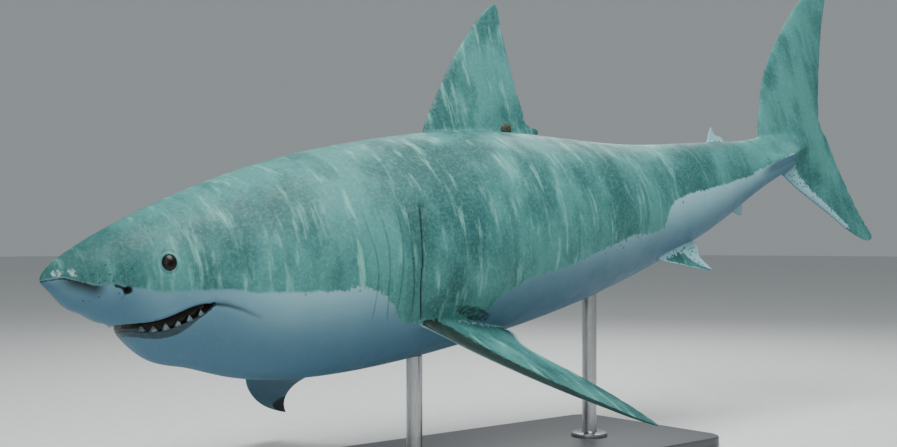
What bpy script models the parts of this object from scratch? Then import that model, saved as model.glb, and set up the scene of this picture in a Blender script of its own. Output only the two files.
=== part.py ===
"""A great white shark, life size and still, held above the floor by a plain display stand.

The body is described in its own coordinates and then posed. A place on it is (s, y, z): s runs along the
spine from the snout (0) to the tip of the tail (1), y is to the shark's left and z to its back, all as
fractions of its length. World units are metres, +Z up, with the head towards -X and the left flank to -Y.
"""

import math

import bmesh
import bpy
import numpy as np
from mathutils import Euler, Vector
from mathutils.bvhtree import BVHTree

# ---- driving sizes -------------------------------------------------------------------------------------
LENGTH = 3.6  # snout to the tip of the tail's upper lobe, m
SPINE_CENTRE = (-0.2883, -0.0488, 0.720)  # where the spine's s = SPINE_PIVOT stands, m
SPINE_PIVOT = 0.4
PITCH = math.radians(-7.35)  # nose down
BANK = math.radians(-7.4)  # left side up
GAP = 0.0003  # between pieces that touch, m
SKIN_CLEARANCE = 0.0010  # what a fin or rod keeps from the faceted body it meets, m
AROUND = 28  # faces round the body

# ---- the spine: heading turns the body in plan, pitch bends it up and down -----------------------------
HEADING_AT = [0.0, 0.1, 0.2, 0.36, 0.5, 0.7, 0.85, 1.0]
HEADING_DEG = [3.9, 4.0, 3.3, 0.0, -2.3, -2.7, -4.4, -7.2]
BEND_RATE = 0.209  # rad of pitch for each unit of s
TAIL_LIFT = 0.15  # more of it, by the square of the way past TAIL_LIFT_FROM
TAIL_LIFT_FROM = 0.6

# ---- the body's form at its stations, as fractions of LENGTH -------------------------------------------
STATIONS = [0.0, 0.01, 0.03, 0.07, 0.13, 0.21, 0.30, 0.40, 0.50, 0.60, 0.70, 0.78, 0.84, 0.875]
BACK = [
    0.0, 0.0120, 0.0235, 0.0411, 0.0613, 0.0792, 0.0879,
    0.0870, 0.0710, 0.0527, 0.0406, 0.0307, 0.0281, 0.0240,
]
BELLY_AT = [0.0, 0.01, 0.018, 0.028, 0.038, 0.048, 0.058, 0.07, 0.10, 0.13, 0.21, 0.30, 0.40, 0.50]
BELLY_AT += [0.60, 0.70, 0.78, 0.84, 0.875]
BELLY = [0.0, 0.0122, 0.0203, 0.0248, 0.0306, 0.0345, 0.0458, 0.0583, 0.0691, 0.0794, 0.0922, 0.0930]
BELLY += [0.0880, 0.0786, 0.0637, 0.0435, 0.0227, 0.0120, 0.0060]
BREADTH = [
    0.0, 0.0094, 0.0210, 0.0374, 0.0580, 0.0756, 0.0851,
    0.0851, 0.0731, 0.0541, 0.0367, 0.0200, 0.0100, 0.0036,
]
WIDEST_SHARE = 0.3  # height of the widest line, as a share of back minus belly
KEEL_MIDDLE = 0.815  # the keel along each side of the tail stock
KEEL_REACH = 0.060
KEEL_HEIGHT = 0.0125
KEEL_SPREAD = 0.30  # rad of the section that the keel takes up

# ---- lengths of the body: name, from, to, rings --------------------------------------------------------
HEAD_END = 0.150
LENGTHS = [
    ("gill_region", HEAD_END, 0.272, 8),
    ("trunk_front", 0.272, 0.400, 6),
    ("trunk_rear", 0.400, 0.560, 6),
    ("tail_base", 0.560, 0.700, 6),
    ("tail_stock", 0.700, 0.873, 11),
]

# ---- mouth: heights of the two lips along the jaw ------------------------------------------------------
LIP_AT = [0.0440, 0.0543, 0.0622, 0.0774, 0.0946, 0.1010]
UPPER_LIP = [-0.0333, -0.0345, -0.0348, -0.0314, -0.0274, -0.0281]
LOWER_LIP = [-0.0385, -0.0410, -0.0438, -0.0430, -0.0343, -0.0287]
JAW_SEAM = [(0.128, -0.0400), (HEAD_END, -0.0500)]  # from the mouth's corner back to the throat
TEETH_PER_SIDE = 9
TEETH_FROM = 0.0570
TEETH_TO = 0.0930
TOOTH_HEIGHT = 0.0062
TOOTH_WIDTH = 0.0042
TOOTH_THICK = 0.0016
TOOTH_INSET = 0.0026

# ---- eyes, nostrils and gills --------------------------------------------------------------------------
EYE_AT = 0.0738
EYE_Z = 0.0030
EYE_SIZE = (0.0058, 0.0042, 0.0066)  # half length, half depth, half height
EYE_PROUD = 0.0020  # how far the eyeball stands out of the head's side
NOSTRIL_AT = 0.0474
NOSTRIL_Z = -0.0126
NOSTRIL_SIZE = (0.0034, 0.0030, 0.0018)  # half length, half depth, half height
GILL_AT = [0.2215, 0.2333, 0.2450, 0.2548, 0.2632]
GILL_TOP = 0.028
GILL_BOTTOM = -0.058
GILL_DEPTH = 0.0030
GILL_WIDTH = 0.0016

# ---- fins ----------------------------------------------------------------------------------------------
FIN_EDGE = 0.0016  # thinnest edge of a fin, m
DORSAL_Z = [0.060, 0.078, 0.0865, 0.100, 0.1200, 0.1500, 0.1723, 0.1890, 0.1960, 0.1986]
DORSAL_FRONT = [0.338, 0.345, 0.3510, 0.3605, 0.3765, 0.4021, 0.4258, 0.4460, 0.4570, 0.4640]
DORSAL_REAR = [0.464, 0.4900, 0.4780, 0.4755, 0.4722, 0.4705, 0.4690, 0.4692, 0.4695, 0.4680]
UPPER_LOBE_Z = [0.0180, 0.0342, 0.0608, 0.0962, 0.1267, 0.1481, 0.1625, 0.1750, 0.1820, 0.1845]
UPPER_LOBE_FRONT = [0.7950, 0.8000, 0.8120, 0.8352, 0.8702, 0.9023, 0.9288, 0.9570, 0.9750, 0.9860]
UPPER_LOBE_REAR = [0.9073, 0.9076, 0.9180, 0.9357, 0.9532, 0.9680, 0.9782, 0.9862, 0.9910, 0.9925]
LOWER_LOBE_Z = [0.0180, 0.0000, -0.0141, -0.0368, -0.0584, -0.0805, -0.0970, -0.1110, -0.1165, -0.1190]
LOWER_LOBE_FRONT = [0.7950, 0.8080, 0.8193, 0.8412, 0.8640, 0.8866, 0.9021, 0.9186, 0.9260, 0.9320]
LOWER_LOBE_REAR = [0.9072, 0.9107, 0.9128, 0.9170, 0.9222, 0.9278, 0.9335, 0.9390, 0.9400, 0.9385]
SECOND_DORSAL_Z = [0.028, 0.0385, 0.0430, 0.0480, 0.0525]
SECOND_DORSAL_FRONT = [0.7060, 0.7150, 0.7190, 0.7235, 0.7275]
SECOND_DORSAL_REAR = [0.7400, 0.7435, 0.7335, 0.7300, 0.7290]
ANAL_Z = [-0.0240, -0.0330, -0.0370, -0.0400, -0.0430]
ANAL_FRONT = [0.7160, 0.7235, 0.7290, 0.7345, 0.7400]
ANAL_REAR = [0.7440, 0.7490, 0.7465, 0.7450, 0.7440]
DORSAL_EDGES = (DORSAL_Z, DORSAL_FRONT, DORSAL_REAR)
UPPER_LOBE_EDGES = (UPPER_LOBE_Z, UPPER_LOBE_FRONT, UPPER_LOBE_REAR)
LOWER_LOBE_EDGES = (LOWER_LOBE_Z, LOWER_LOBE_FRONT, LOWER_LOBE_REAR)
SECOND_DORSAL_EDGES = (SECOND_DORSAL_Z, SECOND_DORSAL_FRONT, SECOND_DORSAL_REAR)
ANAL_EDGES = (ANAL_Z, ANAL_FRONT, ANAL_REAR)


class PairedFin:
    """Sizes of a fin that comes out of the flank; angles in degrees, lengths as fractions of LENGTH."""

    def __init__(self, root, dihedral, yaw, incidence, span, share, front, rear, thick):
        self.root = root  # (s, z) of the front of its base
        self.dihedral = dihedral  # droop below the shark's level, at the root, half way and at the tip
        self.yaw = yaw  # how far the span points back
        self.incidence = incidence  # how far the rear edge is lowered, at the root and at the tip
        self.span = span
        self.share = share  # stations along the span, 0 to 1
        self.front = front  # front edge at each, towards the tail
        self.rear = rear
        self.thick = thick  # thickest at the root and at the tip, m

    def droop(self, share):
        """How far the span hangs below the shark's level, in radians."""
        root, middle, tip = self.dihedral
        bow = (4 * middle - 2 * (root + tip)) * share * (1 - share)
        return math.radians(root + (tip - root) * share + bow)


PECTORAL_SHARE = [0.0, 0.12, 0.25, 0.40, 0.55, 0.70, 0.85, 0.95, 1.0]
PECTORAL_FRONT = [0.0, 0.0068, 0.0123, 0.0222, 0.0363, 0.0568, 0.0857, 0.1101, 0.127]
PECTORAL_REAR = [0.070, 0.1145, 0.1047, 0.1044, 0.1106, 0.1184, 0.1260, 0.1300, 0.131]
PECTORAL_EDGES = (PECTORAL_SHARE, PECTORAL_FRONT, PECTORAL_REAR)
PECTORAL_THICK = (0.034, 0.004)
PECTORAL_LEFT = PairedFin(
    (0.2648, -0.062), (34.7, 35.3, 42.4), 14.8, (5.8, 7.3), 0.1702, *PECTORAL_EDGES, PECTORAL_THICK
)
PECTORAL_RIGHT = PairedFin(
    (0.264, -0.060), (8.0, 8.0, 58.0), -29.5, (18.7, 25.9), 0.1692, *PECTORAL_EDGES, PECTORAL_THICK
)
PELVIC_SHARE = [0.0, 0.20, 0.45, 0.70, 0.90, 1.0]
PELVIC_FRONT = [0.0, 0.014, 0.032, 0.048, 0.060, 0.067]
PELVIC_REAR = [0.052, 0.074, 0.068, 0.066, 0.068, 0.069]
PELVIC_EDGES = (PELVIC_SHARE, PELVIC_FRONT, PELVIC_REAR)
PELVIC_THICK = (0.014, 0.003)
PELVIC_LEFT = PairedFin(
    (0.569, -0.057), (69.0, 65.7, 62.5), 34.5, (-26.7, -26.7), 0.043, *PELVIC_EDGES, PELVIC_THICK
)
PELVIC_RIGHT = PairedFin(
    (0.569, -0.057), (44.0, 41.0, 38.0), 34.5, (-26.7, -26.7), 0.043, *PELVIC_EDGES, PELVIC_THICK
)

# ---- tag at the foot of the dorsal fin -----------------------------------------------------------------
TAG_AT = (0.4460, 0.0835)
TAG_SIZE = (0.042, 0.016, 0.040)  # along, through and up, m

# ---- display stand, m ----------------------------------------------------------------------------------
BASE_SIZE = (1.50, 0.66, 0.035)
BASE_CORNER = 0.08
BASE_CHAMFER = 0.006
ROD_RADIUS = 0.024
FLANGE_RADIUS = 0.060
FLANGE_HEIGHT = 0.012
ROD_FRONT_AT = 0.315
ROD_REAR_AT = 0.520


def spline(xs, ys):
    """A function of x: the natural cubic spline through the points."""
    xs = np.array(xs, float)
    ys = np.array(ys, float)
    step = np.diff(xs)
    count = len(xs)
    matrix = np.eye(count)
    right = np.zeros(count)
    for i in range(1, count - 1):
        matrix[i, i - 1 : i + 2] = step[i - 1], 2 * (step[i - 1] + step[i]), step[i]
        right[i] = 6 * ((ys[i + 1] - ys[i]) / step[i] - (ys[i] - ys[i - 1]) / step[i - 1])
    bend = np.linalg.solve(matrix, right)

    def value(x):
        x = np.clip(x, xs[0], xs[-1])
        i = np.clip(np.searchsorted(xs, x) - 1, 0, count - 2)
        after = x - xs[i]
        before = xs[i + 1] - x
        cubic = (bend[i] * before**3 + bend[i + 1] * after**3) / (6 * step[i])
        line = (ys[i] / step[i] - bend[i] * step[i] / 6) * before
        return cubic + line + (ys[i + 1] / step[i] - bend[i + 1] * step[i] / 6) * after

    return value


class Spine:
    """The bent and banked line that the body is built on."""

    def __init__(self):
        self.s = np.linspace(0, 1, 401)
        self.yaw = np.radians(spline(HEADING_AT, HEADING_DEG)(self.s))
        past = np.maximum(self.s - TAIL_LIFT_FROM, 0)
        self.lift = BEND_RATE * (self.s - SPINE_PIVOT) + TAIL_LIFT * past**2
        tangent = self.tangent(self.yaw, self.lift)
        step = self.s[1] - self.s[0]
        line = np.zeros((len(self.s), 3))
        line[1:] = np.cumsum((tangent[1:] + tangent[:-1]) / 2 * step, axis=0)
        self.line = line - [np.interp(SPINE_PIVOT, self.s, line[:, k]) for k in range(3)]
        self.turn = np.array(Euler((BANK, PITCH, 0)).to_matrix())

    @staticmethod
    def tangent(yaw, lift):
        return np.stack([np.cos(yaw) * np.cos(lift), np.sin(yaw) * np.cos(lift), np.sin(lift)], -1)

    def axes(self, s):
        """Unit vectors to the tail, to the left and to the back at s, before the bank and pitch."""
        yaw = np.interp(s, self.s, self.yaw)
        lift = np.interp(s, self.s, self.lift)
        back = np.array([-np.cos(yaw) * np.sin(lift), -np.sin(yaw) * np.sin(lift), np.cos(lift)])
        return self.tangent(yaw, lift), np.array([np.sin(yaw), -np.cos(yaw), 0 * yaw]), back

    def world(self, point):
        """A point of the straight-standing body, in fractions of LENGTH, as a world point in metres."""
        return self.turn @ (np.array(point) * LENGTH) + SPINE_CENTRE

    def at(self, s, y, z):
        """The world point of body coordinates (s, y, z)."""
        _, left, back = self.axes(s)
        centre = np.array([np.interp(s, self.s, self.line[:, k]) for k in range(3)])
        return self.world(centre + y * left + z * back)


SPINE = Spine()
ROOT_STATIONS = np.sqrt(STATIONS)  # the roots, so that the snout's tip comes out round
back_height = spline(ROOT_STATIONS, BACK)
belly_depth = spline(np.sqrt(BELLY_AT), BELLY)
half_breadth = spline(ROOT_STATIONS, BREADTH)


def keel_height(s):
    """How far the tail stock's keel stands out at s."""
    off = abs(s - KEEL_MIDDLE) / KEEL_REACH
    return KEEL_HEIGHT * math.cos(off * math.pi / 2) ** 2 if off < 1 else 0.0


def section(s, angle):
    """(y, z) of the skin at s. Angle 0 is the left side and a quarter turn is the back."""
    root = math.sqrt(s)
    top = float(back_height(root))
    bottom = -float(belly_depth(root))
    middle = WIDEST_SHARE * (top + bottom)
    side = math.cos(angle)
    rise = math.sin(angle)
    away = math.atan2(abs(rise), abs(side)) / KEEL_SPREAD
    keel = math.copysign(keel_height(s) * math.exp(-(away**2)), side)
    z = middle + rise * (top - middle if rise > 0 else middle - bottom)
    return float(half_breadth(root)) * side + keel, z


def breadth_at(s, z):
    """Half the body's breadth at height z."""
    root = math.sqrt(s)
    top = float(back_height(root))
    bottom = -float(belly_depth(root))
    middle = WIDEST_SHARE * (top + bottom)
    reach = (z - middle) / (top - middle) if z > middle else (middle - z) / (middle - bottom)
    return float(half_breadth(root)) * math.sqrt(max(0.0, 1 - reach * reach))


def ring(s, grow=0.0):
    """The world points of the body's section at s, grown outwards by some metres."""
    points = []
    for k in range(AROUND):
        angle = 2 * math.pi * k / AROUND
        y, z = section(s, angle)
        more = grow / LENGTH
        points.append(SPINE.at(s, y + more * math.cos(angle), z + more * math.sin(angle)))
    return points


def material(name, colour, roughness, metallic=0.0):
    found = bpy.data.materials.get(name)
    if found:
        return found
    made = bpy.data.materials.new(name)
    made.use_nodes = True
    shader = made.node_tree.nodes["Principled BSDF"]
    shader.inputs["Base Color"].default_value = (*colour, 1)
    shader.inputs["Roughness"].default_value = roughness
    shader.inputs["Metallic"].default_value = metallic
    return made


def slate_skin():
    return material("slate_skin", (0.13, 0.17, 0.17), 0.45)


def jaw_skin():
    return material("pale_skin", (0.62, 0.64, 0.63), 0.42)


def eye_surface():
    return material("eye_surface", (0.012, 0.010, 0.010), 0.08)


def tag_shell():
    return material("tag_shell", (0.035, 0.045, 0.035), 0.55)


def base_lacquer():
    return material("base_lacquer", (0.055, 0.057, 0.060), 0.45)


def rod_steel():
    return material("rod_steel", (0.56, 0.56, 0.57), 0.30, 1.0)


def to_object(name, points, faces, dressed=None):
    """An object from points and faces, with its faces turned outwards. With no material it is a cutter."""
    mesh = bpy.data.meshes.new(name)
    mesh.from_pydata([tuple(point) for point in points], [], faces)
    work = bmesh.new()
    work.from_mesh(mesh)
    bmesh.ops.recalc_face_normals(work, faces=work.faces)
    work.to_mesh(mesh)
    work.free()
    made = bpy.data.objects.new(name, mesh)
    bpy.context.collection.objects.link(made)
    if dressed is None:
        made.hide_render = True
        made.display_type = "WIRE"
    else:
        mesh.materials.append(dressed)
        mesh.shade_smooth()
        mesh.set_sharp_from_angle(angle=math.radians(40))
    return made


def loft(name, rings, dressed, nose=None, capped=True):
    """A closed tube through rings of equal count; nose is a point that closes its start."""
    count = len(rings[0])
    points = [point for one in rings for point in one]
    faces = []
    for row in range(len(rings) - 1):
        for k in range(count):
            after = (k + 1) % count
            low = row * count
            faces.append((low + k, low + after, low + count + after, low + count + k))
    last = (len(rings) - 1) * count
    if capped:
        faces.append(tuple(range(last, last + count)))
    if nose is None:
        faces.append(tuple(range(count - 1, -1, -1)))
    else:
        points.append(nose)
        faces += [(len(points) - 1, (k + 1) % count, k) for k in range(count)]
    return to_object(name, points, faces, dressed)


def boolean(target, cutter, operation):
    modifier = target.modifiers.new(operation.lower() + "_" + cutter.name, "BOOLEAN")
    modifier.object = cutter
    modifier.operation = operation
    modifier.solver = "EXACT"


def prism(name, outline, half_width):
    """A cutter: an outline of (s, z) carried from the body's left to its right, following its bend."""
    count = len(outline)
    points = [SPINE.at(s, side * half_width, z) for side in (1, -1) for s, z in outline]
    faces = [tuple(range(count)), tuple(range(2 * count - 1, count - 1, -1))]
    for k in range(count):
        after = (k + 1) % count
        faces.append((k, after, count + after, count + k))
    return to_object(name, points, faces)


def head_stations(first, last, rings):
    """Stations that crowd towards the snout."""
    return [first + (last - first) * (k / rings) ** 1.5 for k in range(1, rings + 1)]


def head_rings(grow=0.0):
    return [ring(s, grow) for s in head_stations(0.0, HEAD_END - GAP / LENGTH, 22)]


def mouth_outline(lip, shift):
    """The space under a lip and its seam, down past the chin."""
    front = LIP_AT[0]
    outline = [(front, -0.13), (front, lip[0] + shift)]
    outline += [(s, z + shift) for s, z in zip(LIP_AT[1:], lip[1:])]
    outline += [(s, z + shift) for s, z in JAW_SEAM]
    return outline + [(HEAD_END + 0.01, JAW_SEAM[-1][1] + shift), (HEAD_END + 0.01, -0.13)]


def ellipsoid(name, centre, axes, sizes, dressed=None, segments=16, rings=10):
    """An ellipsoid with its half sizes, in metres, along three given unit vectors."""
    points = [centre + axes[2] * sizes[2], centre - axes[2] * sizes[2]]
    faces = []
    for row in range(1, rings):
        polar = math.pi * row / rings
        for k in range(segments):
            turn = 2 * math.pi * k / segments
            flat = axes[0] * (sizes[0] * math.cos(turn)) + axes[1] * (sizes[1] * math.sin(turn))
            points.append(centre + flat * math.sin(polar) + axes[2] * (sizes[2] * math.cos(polar)))
    for k in range(segments):
        after = (k + 1) % segments
        faces.append((0, 2 + k, 2 + after))
        end = 2 + (rings - 2) * segments
        faces.append((1, end + after, end + k))
        for row in range(rings - 2):
            low = 2 + row * segments
            faces.append((low + k, low + segments + k, low + segments + after, low + after))
    return to_object(name, points, faces, dressed)


def body_axes(s, side):
    """World unit vectors to the tail, out to one side and to the back at s."""
    tail, left, back = SPINE.axes(s)
    return [SPINE.turn @ tail, SPINE.turn @ left * side, SPINE.turn @ back]


def eye_axes(side):
    """Unit vectors at the eye: back along the head's side, square out of it and up along it."""
    tail, out, back = body_axes(EYE_AT, side)
    step = 0.004
    slope = (breadth_at(EYE_AT + step, EYE_Z) - breadth_at(EYE_AT - step, EYE_Z)) / (2 * step)
    lean = (breadth_at(EYE_AT, EYE_Z + step) - breadth_at(EYE_AT, EYE_Z - step)) / (2 * step)
    normal = out - tail * slope - back * lean
    normal /= np.linalg.norm(normal)
    up = back - normal * back.dot(normal)
    up /= np.linalg.norm(up)
    along = np.cross(normal, up)
    return [along * math.copysign(1, along.dot(tail)), normal, up]


def eye_centre(side):
    surface = SPINE.at(EYE_AT, side * breadth_at(EYE_AT, EYE_Z), EYE_Z)
    return surface - eye_axes(side)[1] * ((EYE_SIZE[1] - EYE_PROUD) * LENGTH)


def tooth_places():
    """(s, y, foot, height) of each lower tooth, along the lip's rim and no taller than the mouth is open."""
    lip = spline(LIP_AT, LOWER_LIP)
    roof = spline(LIP_AT, UPPER_LIP)
    places = []
    for side in (1, -1):
        for k in range(TEETH_PER_SIDE):
            s = TEETH_FROM + (TEETH_TO - TEETH_FROM) * (k / (TEETH_PER_SIDE - 1)) ** 0.85
            foot = float(lip(s))
            y = breadth_at(s, foot) - TOOTH_INSET
            height = min(TOOTH_HEIGHT, float(roof(s)) - foot - 0.0012)
            places.append((s, side * max(y, 0.003), foot, height))
    return places


def tooth(name, s, y, foot, height):
    """One pointed blade, its broad side outwards, sunk into the gum."""
    tail, out, back = body_axes(s, math.copysign(1, y))
    slant = 0.9 * min(1.0, abs(y) / 0.03)
    along = tail * slant + out * (1 - slant)
    along /= np.linalg.norm(along)
    through = np.cross(along, back)
    base = SPINE.at(s, y, foot) - back * 0.006
    tip = base + back * (height * LENGTH + 0.006)
    half = along * (TOOTH_WIDTH / 2 * LENGTH)
    deep = through * (TOOTH_THICK / 2 * LENGTH)
    points = [base - half, base - deep, base + half, base + deep, tip]
    return to_object(name, points, [(0, 1, 4), (1, 2, 4), (2, 3, 4), (3, 0, 4), (3, 2, 1, 0)])


def gill_cutter(name, s, side):
    """A thin curved blade that cuts one gill slit into the flank."""
    rows = []
    for k in range(8):
        share = k / 7
        z = GILL_BOTTOM + (GILL_TOP - GILL_BOTTOM) * share
        bow = 0.004 * (2 * share - 1) ** 2
        tapered = GILL_DEPTH * math.sin(math.pi * (0.12 + 0.76 * share))
        y = breadth_at(s, z)
        inner = (y - tapered, y + 0.006)
        corners = ((-GILL_WIDTH / 2, inner[1]), (GILL_WIDTH / 2, inner[1]), (GILL_WIDTH / 2, inner[0]))
        rows.append([SPINE.at(s + bow + off, side * deep, z) for off, deep in corners])
    return loft(name, rows, None)


def make_head():
    head = loft("head", head_rings(), slate_skin(), SPINE.at(0, 0, 0))
    boolean(head, prism("mouth_cutter", mouth_outline(UPPER_LIP, 0), 0.09), "DIFFERENCE")
    for side, label in ((1, "left"), (-1, "right")):
        grown = [size * LENGTH + SKIN_CLEARANCE for size in EYE_SIZE]
        boolean(head, ellipsoid("socket_" + label, eye_centre(side), eye_axes(side), grown), "DIFFERENCE")
        y = breadth_at(NOSTRIL_AT, NOSTRIL_Z)
        half = [size * LENGTH for size in NOSTRIL_SIZE]
        centre = SPINE.at(NOSTRIL_AT, side * y, NOSTRIL_Z)
        nostril = ellipsoid("nostril_" + label, centre, body_axes(NOSTRIL_AT, side), half, None, 8, 6)
        boolean(head, nostril, "DIFFERENCE")


def make_lower_jaw():
    jaw = loft("lower_jaw", head_rings(), jaw_skin(), SPINE.at(0, 0, 0))
    boolean(jaw, prism("jaw_keeper", mouth_outline(LOWER_LIP, -GAP / LENGTH * 1.5), 0.09), "INTERSECT")
    for number, place in enumerate(tooth_places()):
        boolean(jaw, tooth(f"tooth_{number}", *place), "UNION")


def make_eyes():
    for side, label in ((1, "left"), (-1, "right")):
        along, normal, up = eye_axes(side)
        half = [EYE_SIZE[0] * LENGTH, EYE_SIZE[2] * LENGTH, EYE_SIZE[1] * LENGTH]
        ellipsoid("eye_" + label, eye_centre(side), [along, up, normal], half, eye_surface())


def make_lengths():
    for name, first, last, rings in LENGTHS:
        end = last - GAP / LENGTH if last < LENGTHS[-1][2] else last
        stations = [first + (end - first) * k / (rings - 1) for k in range(rings)]
        made = loft(name, [ring(s) for s in stations], slate_skin())
        if name == "gill_region":
            for number, s in enumerate(GILL_AT):
                for side, label in ((1, "left"), (-1, "right")):
                    boolean(made, gill_cutter(f"gill_{label}_{number}", s, side), "DIFFERENCE")


def body_cutter():
    """The whole body, a little grown, to shape the feet of the fins."""
    stations = [0.03 + 0.17 * k / 5 for k in range(6)]
    for _, first, last, rings in LENGTHS:
        stations += [first + (last - first) * k / (rings - 1) for k in range(rings)]
    stations = sorted({round(s, 5) for s in stations})
    rings = [ring(s, SKIN_CLEARANCE) for s in stations]
    past_end = stations[-1] + SKIN_CLEARANCE / LENGTH
    rings.append(ring(past_end, SKIN_CLEARANCE))
    return loft("body_cutter", rings, None)


def blade_loop(front, rear, normal, thick):
    """A fin's section: rounded in front, thin behind, at least FIN_EDGE thick."""
    count = 7
    upper = []
    lower = []
    for k in range(count + 1):
        x = (1 - math.cos(math.pi * k / count)) / 2
        half = max(1.3 * thick * math.sqrt(x) * (1 - x), FIN_EDGE / 2)
        point = front + (rear - front) * x
        upper.append(point + normal * half)
        lower.append(point - normal * half)
    return upper + lower[::-1]


def median_fin(name, heights, fronts, rears, rows, thick, dressed):
    """A fin on the body's middle plane, from the heights, front edge and rear edge of its outline."""
    share = np.linspace(0, 1, len(heights))
    height = spline(share, heights)
    front = spline(share, fronts)
    rear = spline(share, rears)
    loops = []
    for k in range(rows):
        t = k / (rows - 1)
        z = float(height(t))
        fore = SPINE.at(float(front(t)), 0, z)
        aft = SPINE.at(float(rear(t)), 0, z)
        normal = body_axes(float(rear(t)), 1)[1]
        loops.append(blade_loop(fore, aft, normal, thick[0] + (thick[1] - thick[0]) * t**0.8))
    return loft(name, loops, dressed)


def paired_fin(name, fin, side, rows, dressed):
    """A fin that comes out of one flank, drooping, swept and tapering."""
    s, z = fin.root
    start = SPINE.at(s, side * breadth_at(s, z) * 0.92, z)
    tail, out, back = body_axes(s, side)
    yaw = math.radians(fin.yaw)
    across = out * math.cos(yaw) + tail * math.sin(yaw)
    rearward = tail * math.cos(yaw) - out * math.sin(yaw)
    front = spline(fin.share, fin.front)
    rear = spline(fin.share, fin.rear)
    loops = []
    place = np.array(start)
    inner = -0.16
    for k in range(rows):
        t = k / (rows - 1)
        droop = fin.droop(t)
        tilt = math.radians(fin.incidence[0] + (fin.incidence[1] - fin.incidence[0]) * t)
        normal = across * math.sin(droop) + back * math.cos(droop)
        chord = rearward * math.cos(tilt) - normal * math.sin(tilt)
        lifted = normal * math.cos(tilt) + rearward * math.sin(tilt)
        halfway = fin.droop(max(t - 0.5 / (rows - 1), 0.0))
        along = across * math.cos(halfway) - back * math.sin(halfway)
        if k:
            place = place + along * (fin.span * LENGTH / (rows - 1))
        fore = place + chord * (float(front(t)) * LENGTH)
        aft = place + chord * (float(rear(t)) * LENGTH)
        thick = fin.thick[0] + (fin.thick[1] - fin.thick[0]) * t**0.8
        if not k:
            sunk = along * (inner * fin.span * LENGTH)
            loops.append(blade_loop(fore + sunk, aft + sunk, lifted, thick))
        loops.append(blade_loop(fore, aft, lifted, thick))
    return loft(name, loops, dressed)


def make_fins():
    cutter = body_cutter()
    fins = [
        median_fin("dorsal_fin", *DORSAL_EDGES, 14, (0.040, 0.006), slate_skin()),
        median_fin("second_dorsal_fin", *SECOND_DORSAL_EDGES, 6, (0.010, 0.003), slate_skin()),
        median_fin("anal_fin", *ANAL_EDGES, 6, (0.010, 0.003), jaw_skin()),
        median_fin("tail_upper_lobe", *UPPER_LOBE_EDGES, 14, (0.036, 0.005), slate_skin()),
        median_fin("tail_lower_lobe", *LOWER_LOBE_EDGES, 13, (0.036, 0.005), slate_skin()),
        paired_fin("pectoral_fin_left", PECTORAL_LEFT, 1, 12, slate_skin()),
        paired_fin("pectoral_fin_right", PECTORAL_RIGHT, -1, 12, slate_skin()),
        paired_fin("pelvic_fin_left", PELVIC_LEFT, 1, 7, jaw_skin()),
        paired_fin("pelvic_fin_right", PELVIC_RIGHT, -1, 7, jaw_skin()),
    ]
    for fin in fins:
        boolean(fin, cutter, "DIFFERENCE")
    return cutter


def make_tag(cutter):
    """A small rounded case held against the left face of the dorsal fin's foot."""
    s, z = TAG_AT
    tail, out, back = body_axes(s, 1)
    centre = SPINE.at(s, 0, z) + out * (0.0135 + TAG_SIZE[1] / 2)
    half = [TAG_SIZE[0] / 2, TAG_SIZE[2] / 2, TAG_SIZE[1] / 2]
    made = ellipsoid("tag", centre, [tail, back, out], half, tag_shell())
    boolean(made, cutter, "DIFFERENCE")


def rounded_rectangle(half_x, half_y, corner, steps=5):
    points = []
    for quarter in range(4):
        sign_x = 1 if quarter in (0, 3) else -1
        sign_y = 1 if quarter in (0, 1) else -1
        for k in range(steps + 1):
            turn = math.pi / 2 * (quarter + k / steps)
            x = sign_x * (half_x - corner) + corner * math.cos(turn)
            points.append((x, sign_y * (half_y - corner) + corner * math.sin(turn)))
    return points


def stand_centre():
    front = SPINE.at(ROD_FRONT_AT, 0, 0)
    rear = SPINE.at(ROD_REAR_AT, 0, 0)
    return (front + rear) / 2


def make_stand(cutter):
    middle = stand_centre()
    half_x, half_y, thick = BASE_SIZE[0] / 2, BASE_SIZE[1] / 2, BASE_SIZE[2]
    loops = []
    for inset, z in ((0.0, 0.0), (0.0, thick - BASE_CHAMFER), (BASE_CHAMFER, thick)):
        outline = rounded_rectangle(half_x - inset, half_y - inset, BASE_CORNER - inset)
        loops.append([(middle[0] + x, middle[1] + y, z) for x, y in outline])
    loft("stand_base", loops, base_lacquer())
    bpy.context.view_layer.update()
    graph = bpy.context.evaluated_depsgraph_get()
    belly = BVHTree.FromObject(cutter, graph)
    for name, s in (("stand_rod_front", ROD_FRONT_AT), ("stand_rod_rear", ROD_REAR_AT)):
        foot = SPINE.at(s, 0, -0.05)
        floor = thick + GAP
        profile = [(FLANGE_RADIUS, floor), (FLANGE_RADIUS, floor + FLANGE_HEIGHT)]
        top = floor + FLANGE_HEIGHT
        profile += [(ROD_RADIUS + 0.004, top + 0.004), (ROD_RADIUS, top + 0.012)]
        rings = []
        for radius, z in profile + [(ROD_RADIUS, None)]:
            loop = []
            for k in range(24):
                turn = 2 * math.pi * k / 24
                x = foot[0] + radius * math.cos(turn)
                y = foot[1] + radius * math.sin(turn)
                high = z
                if high is None:
                    hit = belly.ray_cast(Vector((x, y, floor)), Vector((0, 0, 1)))[0]
                    high = hit.z - SKIN_CLEARANCE * 2
                loop.append((x, y, high))
            rings.append(loop)
        loft(name, rings, rod_steel())


def main():
    for old in list(bpy.data.objects):
        bpy.data.objects.remove(old, do_unlink=True)
    make_head()
    make_lower_jaw()
    make_eyes()
    make_lengths()
    cutter = make_fins()
    make_tag(cutter)
    make_stand(cutter)


main()
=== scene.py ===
"""The looks of a life-size great white shark held on a display stand.

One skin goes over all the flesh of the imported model. It is lofted from the same stations as the solids, joined
to its fins, opened at the mouth, sculpted and then painted with attributes that the hide's shader reads. Eyes,
teeth, tag and stand are pieces of their own. Metres, +Z up, the head towards -X and the left flank to -Y.
"""

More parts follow.
